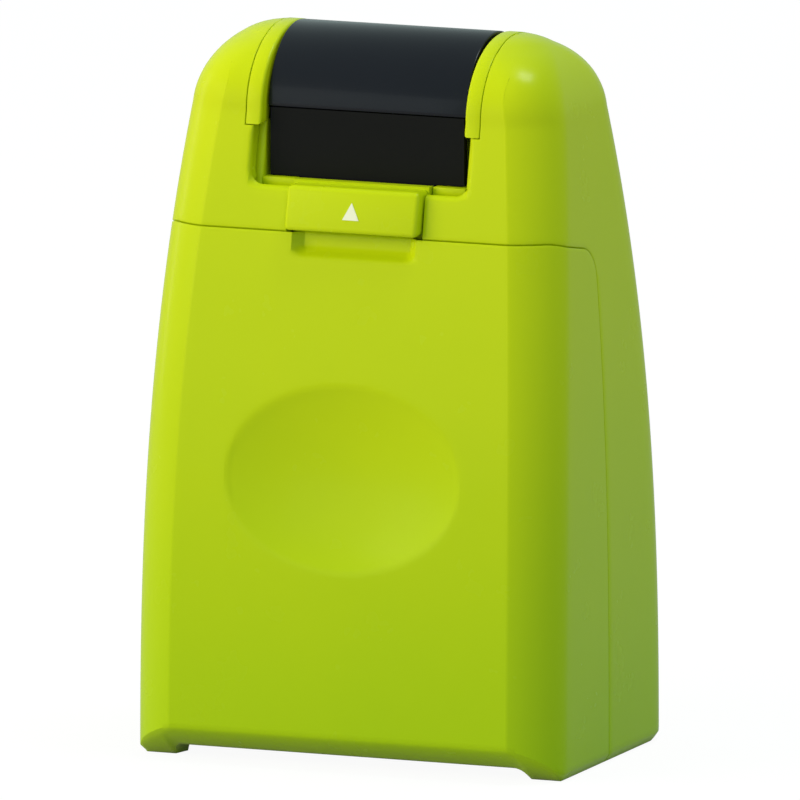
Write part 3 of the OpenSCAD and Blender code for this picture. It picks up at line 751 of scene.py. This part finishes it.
def close_shell(bm, skins):
    """Fills the floors of the outer and the inner skin and joins their rims. Gives the outer rims."""
    for verts in skins:
        close_floor(bm, verts)
    rims = [edge for edge in bm.edges if edge.is_boundary]
    outer = set(skins[0])
    outer_rims = [edge for edge in rims if set(edge.verts) <= outer]
    bmesh.ops.bridge_loops(bm, edges=rims)
    bmesh.ops.recalc_face_normals(bm, faces=bm.faces[:])
    return [edge for edge in outer_rims if edge.is_valid]


def sharp_edges(bm):
    """The edges where two faces meet at a clear angle."""
    bmesh.ops.recalc_face_normals(bm, faces=bm.faces[:])
    return [edge for edge in bm.edges if edge.is_manifold and edge.calc_face_angle() > SHARP_ANGLE]


def round_edges(bm, edges, offset, segments=3):
    """Rounds edges."""
    bmesh.ops.bevel(
        bm, geom=list(edges), offset=offset, offset_type="OFFSET", segments=segments, profile=0.5,
        affect="EDGES", clamp_overlap=True, material=-1,
    )


def mesh_of(bm, name):
    """A mesh from a bmesh."""
    mesh = bpy.data.meshes.new(name)
    bm.to_mesh(mesh)
    bm.free()
    return mesh


def link_object(name, data):
    """A new object in the scene."""
    made = bpy.data.objects.new(name, data)
    bpy.context.scene.collection.objects.link(made)
    return made


def finish_mesh(bm, name, body, slot, finish_name, *nodes, sharp=35.0):
    """Makes a piece from a bmesh, rides it on its body and gives it its finish."""
    for vert in bm.verts:
        vert.co.z = max(vert.co.z, CAD_BOX[0].z)
    bmesh.ops.recalc_face_normals(bm, faces=bm.faces[:])
    mesh = mesh_of(bm, name)
    mesh.polygons.foreach_set("use_smooth", [True] * len(mesh.polygons))
    mesh.set_sharp_from_angle(angle=math.radians(sharp))
    mesh.materials.append(finish(finish_name))
    piece = link_object(name, mesh)
    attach(piece, body)
    if nodes:
        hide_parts(*nodes)
    return piece


def add_box(bm, low, high, edge=0.0):
    """A box between two corners, with rounded edges."""
    low, high = Vector(low), Vector(high)
    made = bmesh.ops.create_cube(bm, size=1.0)
    bmesh.ops.scale(bm, vec=high - low, verts=made["verts"])
    bmesh.ops.translate(bm, vec=(low + high) / 2, verts=made["verts"])
    if edge > 0:
        round_edges(bm, {e for v in made["verts"] for e in v.link_edges}, edge, segments=2)


def extrude_outline(bm, corners, vec):
    """A flat outline, drawn out along a vector."""
    face = bm.faces.new([bm.verts.new(corner) for corner in corners])
    made = bmesh.ops.extrude_face_region(bm, geom=[face])
    moved = [item for item in made["geom"] if isinstance(item, bmesh.types.BMVert)]
    bmesh.ops.translate(bm, vec=vec, verts=moved)


def spin_solid(bm, corners, centre, angle, steps):
    """Sweeps a flat outline round the X direction."""
    face = bm.faces.new([bm.verts.new(corner) for corner in corners])
    full = math.isclose(abs(angle), 2 * math.pi)
    geometry = [face, *face.verts, *face.edges]
    if full:
        bmesh.ops.delete(bm, geom=[face], context="FACES_ONLY")
        geometry = [g for g in geometry if g.is_valid]
    bmesh.ops.spin(
        bm, geom=geometry, cent=centre, axis=(1, 0, 0), angle=angle, steps=steps, use_merge=full,
        use_duplicate=False,
    )


class STAMP_OT_rear_case(bpy.types.Operator):
    """Model the rear case with its head, opening and base"""

    bl_idname = "stamp.rear_case"
    bl_label = "Rear case"

    def levels(self, form):
        """Levels from the recess under the floor up to the top of the crown."""
        size, detail = form.size, form.detail
        base = form.base_levels()
        rise = [Level("rise", share) for share in spread([0, 1], RISE_STEP)[:-1]]
        stops = [form.seam_z] + [detail.open_height - share * size.lip for share in LIP_SHARES[::-1]]
        stops += [detail.open_height, detail.open_height + detail.open_corner, detail.step_height, AXIS.z]
        head = spread(stops, FRONT_STEP)
        rear_turn = math.acos(detail.open_rear / size.head_half)
        crown = spread([0, rear_turn, QUARTER], CROWN_STEP)
        self.first = len(base)
        self.join = len(base) + len(rise)
        return (
            base + rise
            + [Level("head", (z - form.seam_z) / (AXIS.z - form.seam_z)) for z in head[:-1]]
            + [Level("crown", turn) for turn in crown]
        )

    def round_corner(self, detail, x, z):
        """Moves a point of the opening's edge onto the round of its lower corner."""
        r, half, low = detail.open_corner, detail.lower_half, detail.open_height
        on_sill = abs(z - low) < TOUCH and half - r <= abs(x) <= half + TOUCH
        on_side = abs(abs(x) - half) < TOUCH and low <= z <= low + r
        if not (on_sill or on_side):
            return x, z
        run = abs(x) - (half - r) + max(z - low, 0.0)
        turn = QUARTER * run / (2 * r)
        return math.copysign(half - r + r * math.sin(turn), x), low + r - r * math.cos(turn)

    def lip(self, form, x, z):
        """How far the front falls away towards the opening's lower edges."""
        detail, lip = form.detail, form.size.lip
        across = abs(x) - (detail.lower_half - detail.open_corner)
        down = detail.open_height + detail.open_corner - z
        if across > 0 and down > 0:
            away = math.hypot(across, down) - detail.open_corner
        else:
            away = max(across, down) - detail.open_corner
        short = min(max(1 - away / lip, 0.0), 1.0)
        fade = smooth_step(0.0, LIP_FADE, detail.step_height - z)
        return lip * (1 - math.sqrt(1 - short * short)) * fade

    def has_lip(self, detail, point):
        """Whether a point lies on the front edges of the opening, which the lip has rounded."""
        across = abs(point.x) < detail.lower_half + LIP_MARGIN
        return across and point.y < 0 and point.z > detail.open_height - TOUCH

    def place(self, form, front_count, column, spoke, row, level, off):
        """A point of the skin, where its spoke and its level meet."""
        if level.kind == "crown":
            point = form.crown_point(spoke, level.value, off)
            reach = Vector((0, point.y - AXIS.y, point.z - AXIS.z))
            free = form.detail.swing_radius
            if off > 0 and abs(point.x) < FRAME_HIGH.x and point.y > 0 and reach.length < free:
                point += reach.normalized() * (free - reach.length)
            return point
        if level.kind == "head":
            z = between(spoke.seam - form.seam_lap(off), AXIS.z, level.value)
            if spoke.kind != "flat_front":
                return form.point(spoke, z, off)
            x, z = self.round_corner(form.detail, spoke.place, z)
            point = form.point(spoke._replace(place=x), z, off)
            if off == 0:
                point.y += self.lip(form, x, z)
            return point
        if 0 < column < front_count - 1:
            return form.point(spoke, spoke.seam - form.seam_lap(off), off)
        if level.kind == "rise":
            low = form.floor if off > 0 else form.foot_top(spoke)
            return form.point(spoke, between(low, form.arc_z - form.seam_lap(off), level.value), off)
        if off > 0:
            return form.floor_point(spoke, self.first - row)
        return form.foot_point(spoke, level, 0.0)

    def in_opening(self, form, centre):
        """Whether a place lies in the opening for the shutter or in the button's notch."""
        detail = form.detail
        x, y, z = abs(centre.x), centre.y, centre.z
        if z > detail.step_height:
            return x < detail.open_half and y < detail.open_rear
        if z > detail.open_height:
            r = detail.open_corner
            across, down = x - (detail.lower_half - r), detail.open_height + r - z
            past_round = across > 0 and down > 0 and math.hypot(across, down) > r
            return x < detail.lower_half and y < AXIS.y and not past_round
        return x < detail.notch_half and y < AXIS.y and z > form.seam_z

    def execute(self, context):
        size, detail = context.scene.stamp_body, context.scene.stamp_detail
        form = BodyForm(size.seam_gap / 2)
        front = form.front_spokes()
        spokes = front + form.back_spokes()
        levels = self.levels(form)
        count, total = len(front), len(spokes)
        bm = bmesh.new()
        skins = []
        holes = None
        for off in (0.0, size.wall):

            def point_at(column, row):
                column %= total
                return self.place(form, count, column, spokes[column], row, levels[row], off)

            verts = grid_skin(bm, total + 1, len(levels), point_at)
            cells = {face: cell_of(bm, face) for face in faces_of(verts)}
            if holes is None:
                centres = {cell: face.calc_center_median() for face, cell in cells.items()}
                holes = {cell for cell, centre in centres.items() if self.in_opening(form, centre)}
                holes |= {cell for cell in centres if cell[0] < count - 1 and cell[1] < self.join}
            cut = [face for face, cell in cells.items() if cell in holes]
            bmesh.ops.delete(bm, geom=cut, context="FACES")
            skins.append(verts)
        bmesh.ops.remove_doubles(bm, verts=bm.verts[:], dist=MERGE)
        rims = close_shell(bm, [[vert for vert in verts if vert.is_valid] for verts in skins])
        sharp = [edge for edge in rims if not all(self.has_lip(detail, vert.co) for vert in edge.verts)]
        round_edges(bm, sharp, size.edge, segments=2)
        finish_mesh(bm, "rear_case_skin", "case", "green_shell", "lime_case", "rear_case")
        return {"FINISHED"}


class STAMP_OT_front_panel(bpy.types.Operator):
    """Model the front panel with its thumb dimple, scoop and feet"""

    bl_idname = "stamp.front_panel"
    bl_label = "Front panel"

    def levels(self, form):
        """Levels from the recess under the floor up to the seam, finer by the scoop's lower edge."""
        base = form.base_levels()
        low, top = form.size.slope_height, form.seam_z
        scoop = top - form.detail.scoop_drop
        fine_low, fine_high = scoop - SCOOP_BELOW, scoop + SCOOP_ABOVE
        heights = spread([low, fine_low], FRONT_STEP)
        heights += spread([fine_low, fine_high], SCOOP_FINE_STEP)[1:]
        heights += spread([fine_high, top], SCOOP_STEP)[1:]
        self.first = len(base)
        return base + [Level("rise", (z - low) / (top - low)) for z in heights]

    def dimple(self, detail, x, z):
        """Depth of the thumb dimple at a place on the front."""
        across = x / (detail.dimple_width / 2)
        up = (z - detail.dimple_level) / (detail.dimple_height / 2)
        reach = math.hypot(across, up)
        bowl = max(1 - reach * reach, 0.0)
        return detail.dimple_depth * bowl * smooth_step(0.0, DIMPLE_RIM, 1 - reach)

    def scoop(self, form, x, z):
        """Depth of the scoop under the button at a place on the front."""
        detail = form.detail
        r = SCOOP_CORNER
        low = form.seam_z - detail.scoop_drop
        across = max(abs(x) - (detail.scoop_half - r), 0.0)
        down = max(low + r - z, 0.0)
        return detail.scoop_depth * smooth_step(*SCOOP_SLOPE, r - math.hypot(across, down))

    def arch(self, detail, x):
        """Height of the arch under the front at a place across it."""
        r = detail.arch_height
        run = max(abs(x) - (detail.arch_half - r), 0.0)
        return math.sqrt(max(r * r - run * run, 0.0))

    def place(self, form, spoke, row, level, off):
        """A point of the skin, where its spoke and its level meet."""
        detail = form.detail
        if level.kind != "rise":
            if off > 0:
                return form.floor_point(spoke, self.first - row)
            across = form.point(spoke, 0.0, 0.0).x
            lift = 0.0 if spoke.kind == "side_front" else self.arch(detail, across)
            return form.foot_point(spoke, level, lift)
        low = form.floor if off > 0 else form.foot_top(spoke)
        z = between(low, spoke.seam - form.seam_lap(off), level.value)
        point = form.point(spoke, z, off)
        if spoke.kind in ("flat_front", "edge_front"):
            inside = SCOOP_INSIDE if off > 0 else 1.0
            point.y += self.dimple(detail, point.x, z) + inside * self.scoop(form, point.x, z)
        return point

    def execute(self, context):
        size = context.scene.stamp_body
        form = BodyForm(-size.seam_gap / 2)
        spokes = form.front_spokes()
        levels = self.levels(form)
        bm = bmesh.new()
        skins = []
        for off in (0.0, size.wall):

            def point_at(column, row):
                return self.place(form, spokes[column], row, levels[row], off)

            skins.append(grid_skin(bm, len(spokes), len(levels), point_at))
        round_edges(bm, close_shell(bm, skins), size.edge, segments=2)
        finish_mesh(bm, "front_panel_skin", "panel", "green_shell", "lime_case", "front_panel")
        return {"FINISHED"}


# The cheeks: their gap to the shutter, their room in the opening, their foot below the axis and their edges
CHEEK_GAP = 0.25 * MM
CHEEK_ROOM = 0.1 * MM
CHEEK_FOOT = 24.6 * MM
CHEEK_ROUND = 0.3 * MM
CHEEK_EDGE = 0.06 * MM
CHEEK_STEP = 0.8 * MM
CHEEK_TURN = math.radians(5)
# The rails that guide the slide's carrier, by their depths beside it, and the stop over it
CARRIER_HALF = 7.2 * MM
CARRIER_ROOM = 0.1 * MM
RAILS = ((-0.5 * MM, -0.15 * MM), (1.25 * MM, 1.6 * MM))
RAIL_WIDE = 0.5 * MM
RAIL_HIGH = 7.7 * MM
RAIL_EDGE = 0.1 * MM
STOP_DEPTH = 2.8 * MM
STOP_HIGH = 1.2 * MM
# The back wall and the shelf between the cheeks, and how far inside the shutter the shelf begins
SEAT_INSET = 1.9 * MM
BACK_WALL = 6.0 * MM
SHELF_DROP = 20.6 * MM
PLATE = 1.6 * MM
PLATE_EDGE = 0.2 * MM


class STAMP_OT_guide_frame(bpy.types.Operator):
    """Model the guide frame, whose rims are the cheeks beside the shutter"""

    bl_idname = "stamp.guide_frame"
    bl_label = "Guide frame"

    def outline(self, form, off, low, rear):
        """Depths and heights of a cheek plate, from its front foot over the crown to its rear foot."""
        size = form.size
        heights = spread([low, AXIS.z], CHEEK_STEP)
        points = [(off - form.half_d(z), z) for z in heights[:-1]]
        for turn in spread([0, math.pi], CHEEK_TURN):
            y = -(size.head_half - off) * math.cos(turn)
            points.append((y, AXIS.z + (CROWN_H - off) * math.sin(turn)))
        points += [(form.half_d(z) - off, z) for z in heights[-2::-1]]
        kept = [(y, z) for y, z in points if y <= rear]
        if len(kept) < len(points):
            top = kept[-1][1]
            kept += [(rear, top), (rear, low)]
        return kept

    def cheeks(self, bm, outline, x_in, x_out):
        """A plate on each side, drawn outwards from its outline."""
        for side in (-1, 1):
            corners = [(side * x_in, y, z) for y, z in outline]
            extrude_outline(bm, corners, (side * (x_out - x_in), 0, 0))

    def spans(self, x_in, seat):
        """Corners of the stop over the carrier and of the two rails that guide it, on the right side."""
        stop_z, rail_z = SPRING_HIGH.z, CARRIER_LOW.z
        stop_x = CARRIER_HALF + CARRIER_ROOM
        yield (stop_x, seat - STOP_DEPTH, stop_z), (x_in, seat - CHEEK_GAP, stop_z + STOP_HIGH)
        for low, high in RAILS:
            rail = (x_in - RAIL_WIDE, CARRIER_LOW.y + low, rail_z)
            yield rail, (x_in, CARRIER_LOW.y + high, rail_z + RAIL_HIGH)

    def execute(self, context):
        size, detail = context.scene.stamp_body, context.scene.stamp_detail
        form = BodyForm(0.0)
        x_in, x_out = SHUTTER_HIGH.x + CHEEK_GAP, FRAME_HIGH.x
        low, rear = detail.step_height + CHEEK_ROOM, detail.open_rear - CHEEK_ROOM
        whole = self.outline(form, size.wall + CHEEK_GAP, AXIS.z - CHEEK_FOOT, math.inf)
        bm = bmesh.new()
        for outline in (whole, self.outline(form, 0.0, low, rear)):
            self.cheeks(bm, outline, x_in, x_out)
        sharp = sharp_edges(bm)
        middle = (x_in + x_out) / 2
        inner = [e for e in sharp if all(abs(v.co.x) < middle for v in e.verts)]
        outer = [e for e in sharp if all(abs(v.co.x) > middle for v in e.verts)]
        round_edges(bm, inner, CHEEK_ROUND, segments=4)
        round_edges(bm, [e for e in outer if e.is_valid], CHEEK_EDGE, segments=2)
        seat = AXIS.y - (SHUTTER_HIGH.z - AXIS.z) + SEAT_INSET
        for side in (-1, 1):
            for near, far in self.spans(x_in, seat):
                ends = sorted((side * near[0], side * far[0]))
                add_box(bm, (ends[0], *near[1:]), (ends[1], *far[1:]), RAIL_EDGE)
        back_top = (x_in, BACK_WALL + PLATE, detail.open_height - PLATE)
        add_box(bm, (-x_in, BACK_WALL, FRAME_LOW.z), back_top, PLATE_EDGE)
        shelf = AXIS.z - SHELF_DROP
        add_box(bm, (-x_in, seat, shelf), (x_in, BACK_WALL, shelf + PLATE), PLATE_EDGE)
        finish_mesh(bm, "guide_frame_cheeks", "case", "green_inner", "lime_case", "guide_frame")
        return {"FINISHED"}


# The shutter's curved wall, from just under the axis in front over the top
SHUTTER_WALL = 0.8 * MM
SHUTTER_EDGE = 0.1 * MM
SHUTTER_START = math.radians(2.9)
SHUTTER_SWEEP = math.radians(147.1)
SHUTTER_STEPS = 60
# Its end discs, which start a little inside its ends, and the radii of their hubs
DISC_WALL = 0.6 * MM
DISC_INSET = 0.02 * MM
DISC_LOW = 2.0 * MM
DISC_STEPS = 40
HUB_BORE = 1.65 * MM
HUB = 3.0 * MM


class STAMP_OT_shutter(bpy.types.Operator):
    """Model the curved shutter with its end discs"""

    bl_idname = "stamp.shutter"
    bl_label = "Shutter"

    def execute(self, context):
        outer, half = SHUTTER_HIGH.z - AXIS.z, SHUTTER_HIGH.x
        start = Matrix.Translation(AXIS) @ Matrix.Rotation(-SHUTTER_START, 4, "X")

        def outline(x_low, x_high, r_low, r_high):
            corners = ((x_low, r_low), (x_high, r_low), (x_high, r_high), (x_low, r_high))
            return [start @ Vector((x, -r, 0)) for x, r in corners]

        bm = bmesh.new()
        cover = outline(-half, half, outer - SHUTTER_WALL, outer)
        spin_solid(bm, cover, AXIS, -SHUTTER_SWEEP, SHUTTER_STEPS)
        round_edges(bm, sharp_edges(bm), SHUTTER_EDGE)
        for side in (-1, 1):
            ends = sorted((side * (half - DISC_WALL), side * (half - DISC_INSET)))
            disc = outline(*ends, DISC_LOW, outer - SHUTTER_WALL / 2)
            spin_solid(bm, disc, AXIS, -SHUTTER_SWEEP, DISC_STEPS)
            spin_solid(bm, outline(*ends, HUB_BORE, HUB), AXIS, 2 * math.pi, DISC_STEPS)
        finish_mesh(bm, "shutter_cover", "shutter", "black_gloss", "gloss_shutter", "shutter")
        return {"FINISHED"}


# How much more the button's face leans than the body, and the arrow's size and thickness on it
BUTTON_LEAN = 0.2 * MM
ARROW = 1.75 * MM
ARROW_THICK = 0.05 * MM


class STAMP_OT_slide_button(bpy.types.Operator):
    """Model the thumb slide's button and the arrow on it"""

    bl_idname = "stamp.slide_button"
    bl_label = "Slide button"

    def execute(self, context):
        detail = context.scene.stamp_detail
        form = BodyForm(0.0)
        lean = form.half_d(BUTTON_LOW.z) - form.half_d(BUTTON_HIGH.z) + BUTTON_LEAN
        bm = bmesh.new()
        add_box(bm, BUTTON_LOW, BUTTON_HIGH)
        for vert in bm.verts:
            if vert.co.y < BUTTON_LOW.y + MM and vert.co.z > BUTTON_HIGH.z - MM:
                vert.co.y += lean
        ahead = BUTTON_LOW.y + lean + TOUCH
        front = [e for e in bm.edges if min(v.co.y for v in e.verts) < ahead]
        round_edges(bm, front, detail.button_edge, segments=4)
        finish_mesh(bm, "thumb_button", "slide", "green_shell", "lime_case", "slide_button")
        self.arrow(lean)
        return {"FINISHED"}

    def arrow(self, lean):
        """A thin printed arrow on the button's leaning face."""
        side, thick = ARROW / 2, Vector((0, 0, ARROW_THICK))
        rise = BUTTON_HIGH.z - BUTTON_LOW.z
        middle = Vector((0, BUTTON_LOW.y + lean / 2, (BUTTON_LOW.z + BUTTON_HIGH.z) / 2))
        bm = bmesh.new()
        extrude_outline(bm, ((-side, -side, 0), (side, -side, 0), (0, side, 0)), thick)
        upright = Matrix.Rotation(QUARTER - math.atan2(lean, rise), 4, "X")
        bmesh.ops.transform(bm, matrix=Matrix.Translation(middle) @ upright, verts=bm.verts[:])
        finish_mesh(bm, "button_arrow", "slide", "white_plastic", "arrow_print")


# The spring's coils and the radius of its wire
COILS = 8
COIL_STEPS = 28
WIRE = 0.2 * MM
WIRE_SIDES = 10


class STAMP_OT_slide_spring(bpy.types.Operator):
    """Model the slide's return spring as a smooth coil"""

    bl_idname = "stamp.slide_spring"
    bl_label = "Slide spring"

    def execute(self, context):
        centre = (SPRING_LOW + SPRING_HIGH) / 2
        height = SPRING_HIGH.z - SPRING_LOW.z
        radius = (SPRING_HIGH.x - SPRING_LOW.x) / 2 - WIRE
        steps = COILS * COIL_STEPS
        climb = (height - 2 * WIRE) / steps
        bm = bmesh.new()
        made = bmesh.ops.create_circle(bm, segments=WIRE_SIDES, radius=WIRE)
        place = Matrix.Translation((centre.x + radius, centre.y, SPRING_LOW.z + WIRE))
        bmesh.ops.transform(bm, matrix=place @ Matrix.Rotation(QUARTER, 4, "X"), verts=made["verts"])
        bmesh.ops.spin(
            bm, geom=bm.verts[:] + bm.edges[:], cent=centre, axis=(0, 0, 1), dvec=(0, 0, climb),
            angle=2 * math.pi * COILS, steps=steps, use_duplicate=False,
        )
        bmesh.ops.holes_fill(bm, edges=[e for e in bm.edges if e.is_boundary], sides=0)
        piece = finish_mesh(
            bm, "return_spring", "case", "steel", "spring_steel", "slide_spring", sharp=60.0
        )
        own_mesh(piece)
        return {"FINISHED"}


# The sleeves' thickness, steps round and bevels
SLEEVE_WALL = 1.5 * MM
SLEEVE_STEPS = 96
RUBBER_EDGE = 0.12 * MM
FELT_EDGE = 0.25 * MM
# The marks on the rubber: their rows, the ranges of their sizes in millimetres and their relief
MARK_ROWS = 26
MARK_COLUMNS = 9
MARK_WIDTHS = (0.35, 1.15)
MARK_LENGTHS = (0.30, 1.05)
MARK_MARGIN = 0.4 * MM
MARK_RELIEF = 0.35 * MM
MARK_ROOT = 0.1 * MM
MARK_SHORT = 0.03 * MM


class STAMP_OT_rollers(bpy.types.Operator):
    """Model the printing rubber with its raised marks and the inked felt"""

    bl_idname = "stamp.rollers"
    bl_label = "Rollers"

    def sleeve(self, bm, centre, half, inner, outer, edge):
        """A sleeve about the X direction with bevelled ends."""
        outline = (
            (-half, inner), (half, inner), (half, outer - edge),
            (half - edge, outer), (edge - half, outer), (-half, outer - edge),
        )
        corners = [centre + Vector((x, 0, r)) for x, r in outline]
        spin_solid(bm, corners, centre, 2 * math.pi, SLEEVE_STEPS)

    def marks(self, bm, centre, half, base, top, draw):
        """Short raised strokes in rows round the rubber."""
        for row in range(MARK_ROWS):
            turn = 2 * math.pi * row / MARK_ROWS
            for column in range(MARK_COLUMNS):
                x = between(-half, half, (column + 0.5) / MARK_COLUMNS)
                size = (draw.uniform(*MARK_WIDTHS) * MM, draw.uniform(*MARK_LENGTHS) * MM, top - base)
                made = bmesh.ops.create_cube(bm, size=1.0)
                bmesh.ops.scale(bm, vec=size, verts=made["verts"])
                place = Matrix.Translation(centre) @ Matrix.Rotation(turn, 4, "X")
                place = place @ Matrix.Translation((x, 0, (top + base) / 2))
                bmesh.ops.transform(bm, matrix=place, verts=made["verts"])

    def execute(self, context):
        half = RUBBER_HIGH.x
        top = RUBBER_HIGH.z - AXIS.z
        face = top - MARK_RELIEF
        bm = bmesh.new()
        self.sleeve(bm, AXIS, half, top - SLEEVE_WALL, face, RUBBER_EDGE)
        draw = random.Random(context.scene.stamp_detail.mark_seed)
        self.marks(bm, AXIS, half - MARK_MARGIN, face - MARK_ROOT, top - MARK_SHORT, draw)
        finish_mesh(bm, "printing_sleeve", "stamp_roller", "grey_rubber", "printing_rubber", "stamp_rubber")
        bm = bmesh.new()
        outer = FELT_HIGH.z - INK_AXIS.z
        self.sleeve(bm, INK_AXIS, FELT_HIGH.x, outer - SLEEVE_WALL, outer, FELT_EDGE)
        finish_mesh(bm, "felt_sleeve", "ink_roller", "ink_felt", "inked_felt", "ink_felt")
        return {"FINISHED"}


# The frame's own parts that stay, by their finish
KEPT_PARTS = {
    "matt_cartridge": ("cartridge_frame", "shutter_gear"),
    "printing_rubber": ("grip_rings",),
    "lime_inner": ("slide_carrier",),
    "white_core": ("stamp_core", "ink_core"),
    "drawn_steel": (
        "frame_screws", "shutter_pins", "spring_rod", "stamp_axle", "ink_axle", "ink_springs"
    ),
}


class STAMP_OT_kept_parts(bpy.types.Operator):
    """Give the frame's own parts their finishes"""

    bl_idname = "stamp.kept_parts"
    bl_label = "Kept parts"

    def execute(self, context):
        for name, nodes in KEPT_PARTS.items():
            for key in nodes:
                mesh = frame["nodes"][key].data
                mesh.materials.clear()
                mesh.materials.append(finish(name))
        return {"FINISHED"}


# The floor: its size, its tone, and how white it looks to the camera and in mirrors
FLOOR_REACH = 8.0
FLOOR_TONE = (0.45, 0.45, 0.45)
FLOOR_ROUGH = 0.9
FLOOR_GLOW = 1.12
GLOW_SHARE = 0.84
MIRROR_SHARE = 0.15
# The light from all round
WORLD_TONE = (0.8, 1.0, 0.97)
WORLD_POWER = 0.58
# The lamps: their place in degrees and metres, their size, power and tint, and whether gloss mirrors them
Lamp = namedtuple("Lamp", "name azimuth elevation distance width height power tint mirrored")
LAMP_TARGET = Vector((0, 0, 60 * MM))
WARM = (1.0, 0.84, 0.62)
COOL = (0.92, 1.0, 0.97)
LAMPS = (
    Lamp("key", -50, 15, 1.0, 0.66, 0.42, "key_power", WARM, False),
    Lamp("glint", -26, 10, 1.1, 0.72, 0.46, "glint_power", COOL, True),
    Lamp("top", 100, 76, 1.0, 0.3, 0.3, "top_power", COOL, True),
    Lamp("edge", -95, 8, 1.0, 0.12, 0.5, "glint_power", WARM, True),
)
# The camera's sensor in millimetres and its clipping range in metres
SENSOR = 36.0
CLIP = (0.05, 100.0)


class STAMP_OT_stage(bpy.types.Operator):
    """Set the floor, the studio light and the camera"""

    bl_idname = "stamp.stage"
    bl_label = "Stage"

    def floor(self):
        """A pale floor that the camera sees as almost white, with the object's shadow."""
        bm = bmesh.new()
        bmesh.ops.create_grid(bm, x_segments=1, y_segments=1, size=FLOOR_REACH)
        mesh = mesh_of(bm, "floor")
        made = bpy.data.materials.new("floor_white")
        made.use_nodes = True
        tree = made.node_tree
        shader = tree.nodes["Principled BSDF"]
        shader.inputs["Base Color"].default_value = (*FLOOR_TONE, 1)
        shader.inputs["Roughness"].default_value = FLOOR_ROUGH
        shader.inputs["Specular IOR Level"].default_value = 0.0
        glow = node(tree, "ShaderNodeEmission", {}, {"Color": (1, 1, 1, 1), "Strength": FLOOR_GLOW})
        rays = ("Is Camera Ray", "Is Glossy Ray", "Is Transmission Ray")
        seen, mirrored, through = (node(tree, "ShaderNodeLightPath", {}, {}, ray) for ray in rays)
        share = (seen + mirrored * MIRROR_SHARE + through).clamp() * GLOW_SHARE
        shown = node(tree, "ShaderNodeMixShader", {}, {0: share, 2: glow})
        tree.links.new(shader.outputs["BSDF"], shown.socket.node.inputs[1])
        tree.links.new(shown.socket, tree.nodes["Material Output"].inputs["Surface"])
        mesh.materials.append(made)
        floor = link_object("floor", mesh)

    def world(self, scene):
        """An even light from all round."""
        scene.world = bpy.data.worlds.new("studio")
        scene.world.use_nodes = True
        background = scene.world.node_tree.nodes["Background"]
        background.inputs["Color"].default_value = (*WORLD_TONE, 1)
        background.inputs["Strength"].default_value = WORLD_POWER

    def aim(self, thing, target, azimuth, elevation, distance):
        """Puts a lamp or a camera at a distance from its target, facing it."""
        level = math.cos(elevation)
        away = Vector((math.sin(azimuth) * level, -math.cos(azimuth) * level, math.sin(elevation)))
        thing.location = target + away * distance
        thing.rotation_euler = (-away).to_track_quat("-Z", "Y").to_euler()

    def lamp(self, plan, energy):
        """An area lamp that faces the head."""
        data = bpy.data.lights.new(plan.name, "AREA")
        data.shape = "RECTANGLE"
        data.size, data.size_y = plan.width, plan.height
        data.energy = energy
        data.color = plan.tint
        lamp = link_object(plan.name, data)
        lamp.visible_glossy = plan.mirrored
        turn, rise = math.radians(plan.azimuth), math.radians(plan.elevation)
        self.aim(lamp, LAMP_TARGET, turn, rise, plan.distance)

    def camera(self, stage):
        """The camera, which looks from the front right and a little from above."""
        data = bpy.data.cameras.new("camera")
        data.sensor_width = SENSOR
        data.lens = SENSOR * stage.distance / stage.view_width
        data.clip_start, data.clip_end = CLIP
        across = Vector((math.cos(stage.azimuth), math.sin(stage.azimuth), 0))
        target = Vector((0, 0, stage.target_height)) + across * stage.target_side
        camera = link_object("camera", data)
        self.aim(camera, target, stage.azimuth, stage.elevation, stage.distance)
        bpy.context.scene.camera = camera

    def execute(self, context):
        scene = context.scene
        stage = scene.stamp_stage
        self.floor()
        self.world(scene)
        for plan in LAMPS:
            self.lamp(plan, getattr(stage, plan.power))
        self.camera(stage)
        scene.view_settings.view_transform = "Standard"
        return {"FINISHED"}


class STAMP_PT_sidebar(bpy.types.Panel):
    """Lists the steps that build the roller stamp"""

    bl_idname = "STAMP_PT_sidebar"
    bl_label = "Roller stamp"
    bl_space_type = "VIEW_3D"
    bl_region_type = "UI"
    bl_category = "Roller stamp"

    def draw(self, context):
        for operator in STEPS:
            self.layout.operator(operator.bl_idname)


GROUPS = {
    "stamp_body": StampBodySizes,
    "stamp_detail": StampDetailSizes,
    "stamp_finishes": StampFinishes,
    "stamp_stage": StampStage,
}
STEPS = (
    STAMP_OT_rear_case,
    STAMP_OT_front_panel,
    STAMP_OT_guide_frame,
    STAMP_OT_shutter,
    STAMP_OT_slide_button,
    STAMP_OT_slide_spring,
    STAMP_OT_rollers,
    STAMP_OT_kept_parts,
    STAMP_OT_stage,
)


def register():
    for kind in (*GROUPS.values(), *STEPS, STAMP_PT_sidebar):
        bpy.utils.register_class(kind)
    for name, kind in GROUPS.items():
        setattr(bpy.types.Scene, name, PointerProperty(type=kind))


def unregister():
    for name in GROUPS:
        delattr(bpy.types.Scene, name)
    for kind in (STAMP_PT_sidebar, *reversed(STEPS), *reversed(GROUPS.values())):
        bpy.utils.unregister_class(kind)


def main():
    register()
    bpy.ops.stamp.rear_case()
    bpy.ops.stamp.front_panel()
    bpy.ops.stamp.guide_frame()
    bpy.ops.stamp.shutter()
    bpy.ops.stamp.slide_button()
    bpy.ops.stamp.slide_spring()
    bpy.ops.stamp.rollers()
    bpy.ops.stamp.kept_parts()
    bpy.ops.stamp.stage()
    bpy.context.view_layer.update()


if __name__ == "__main__":
    main()
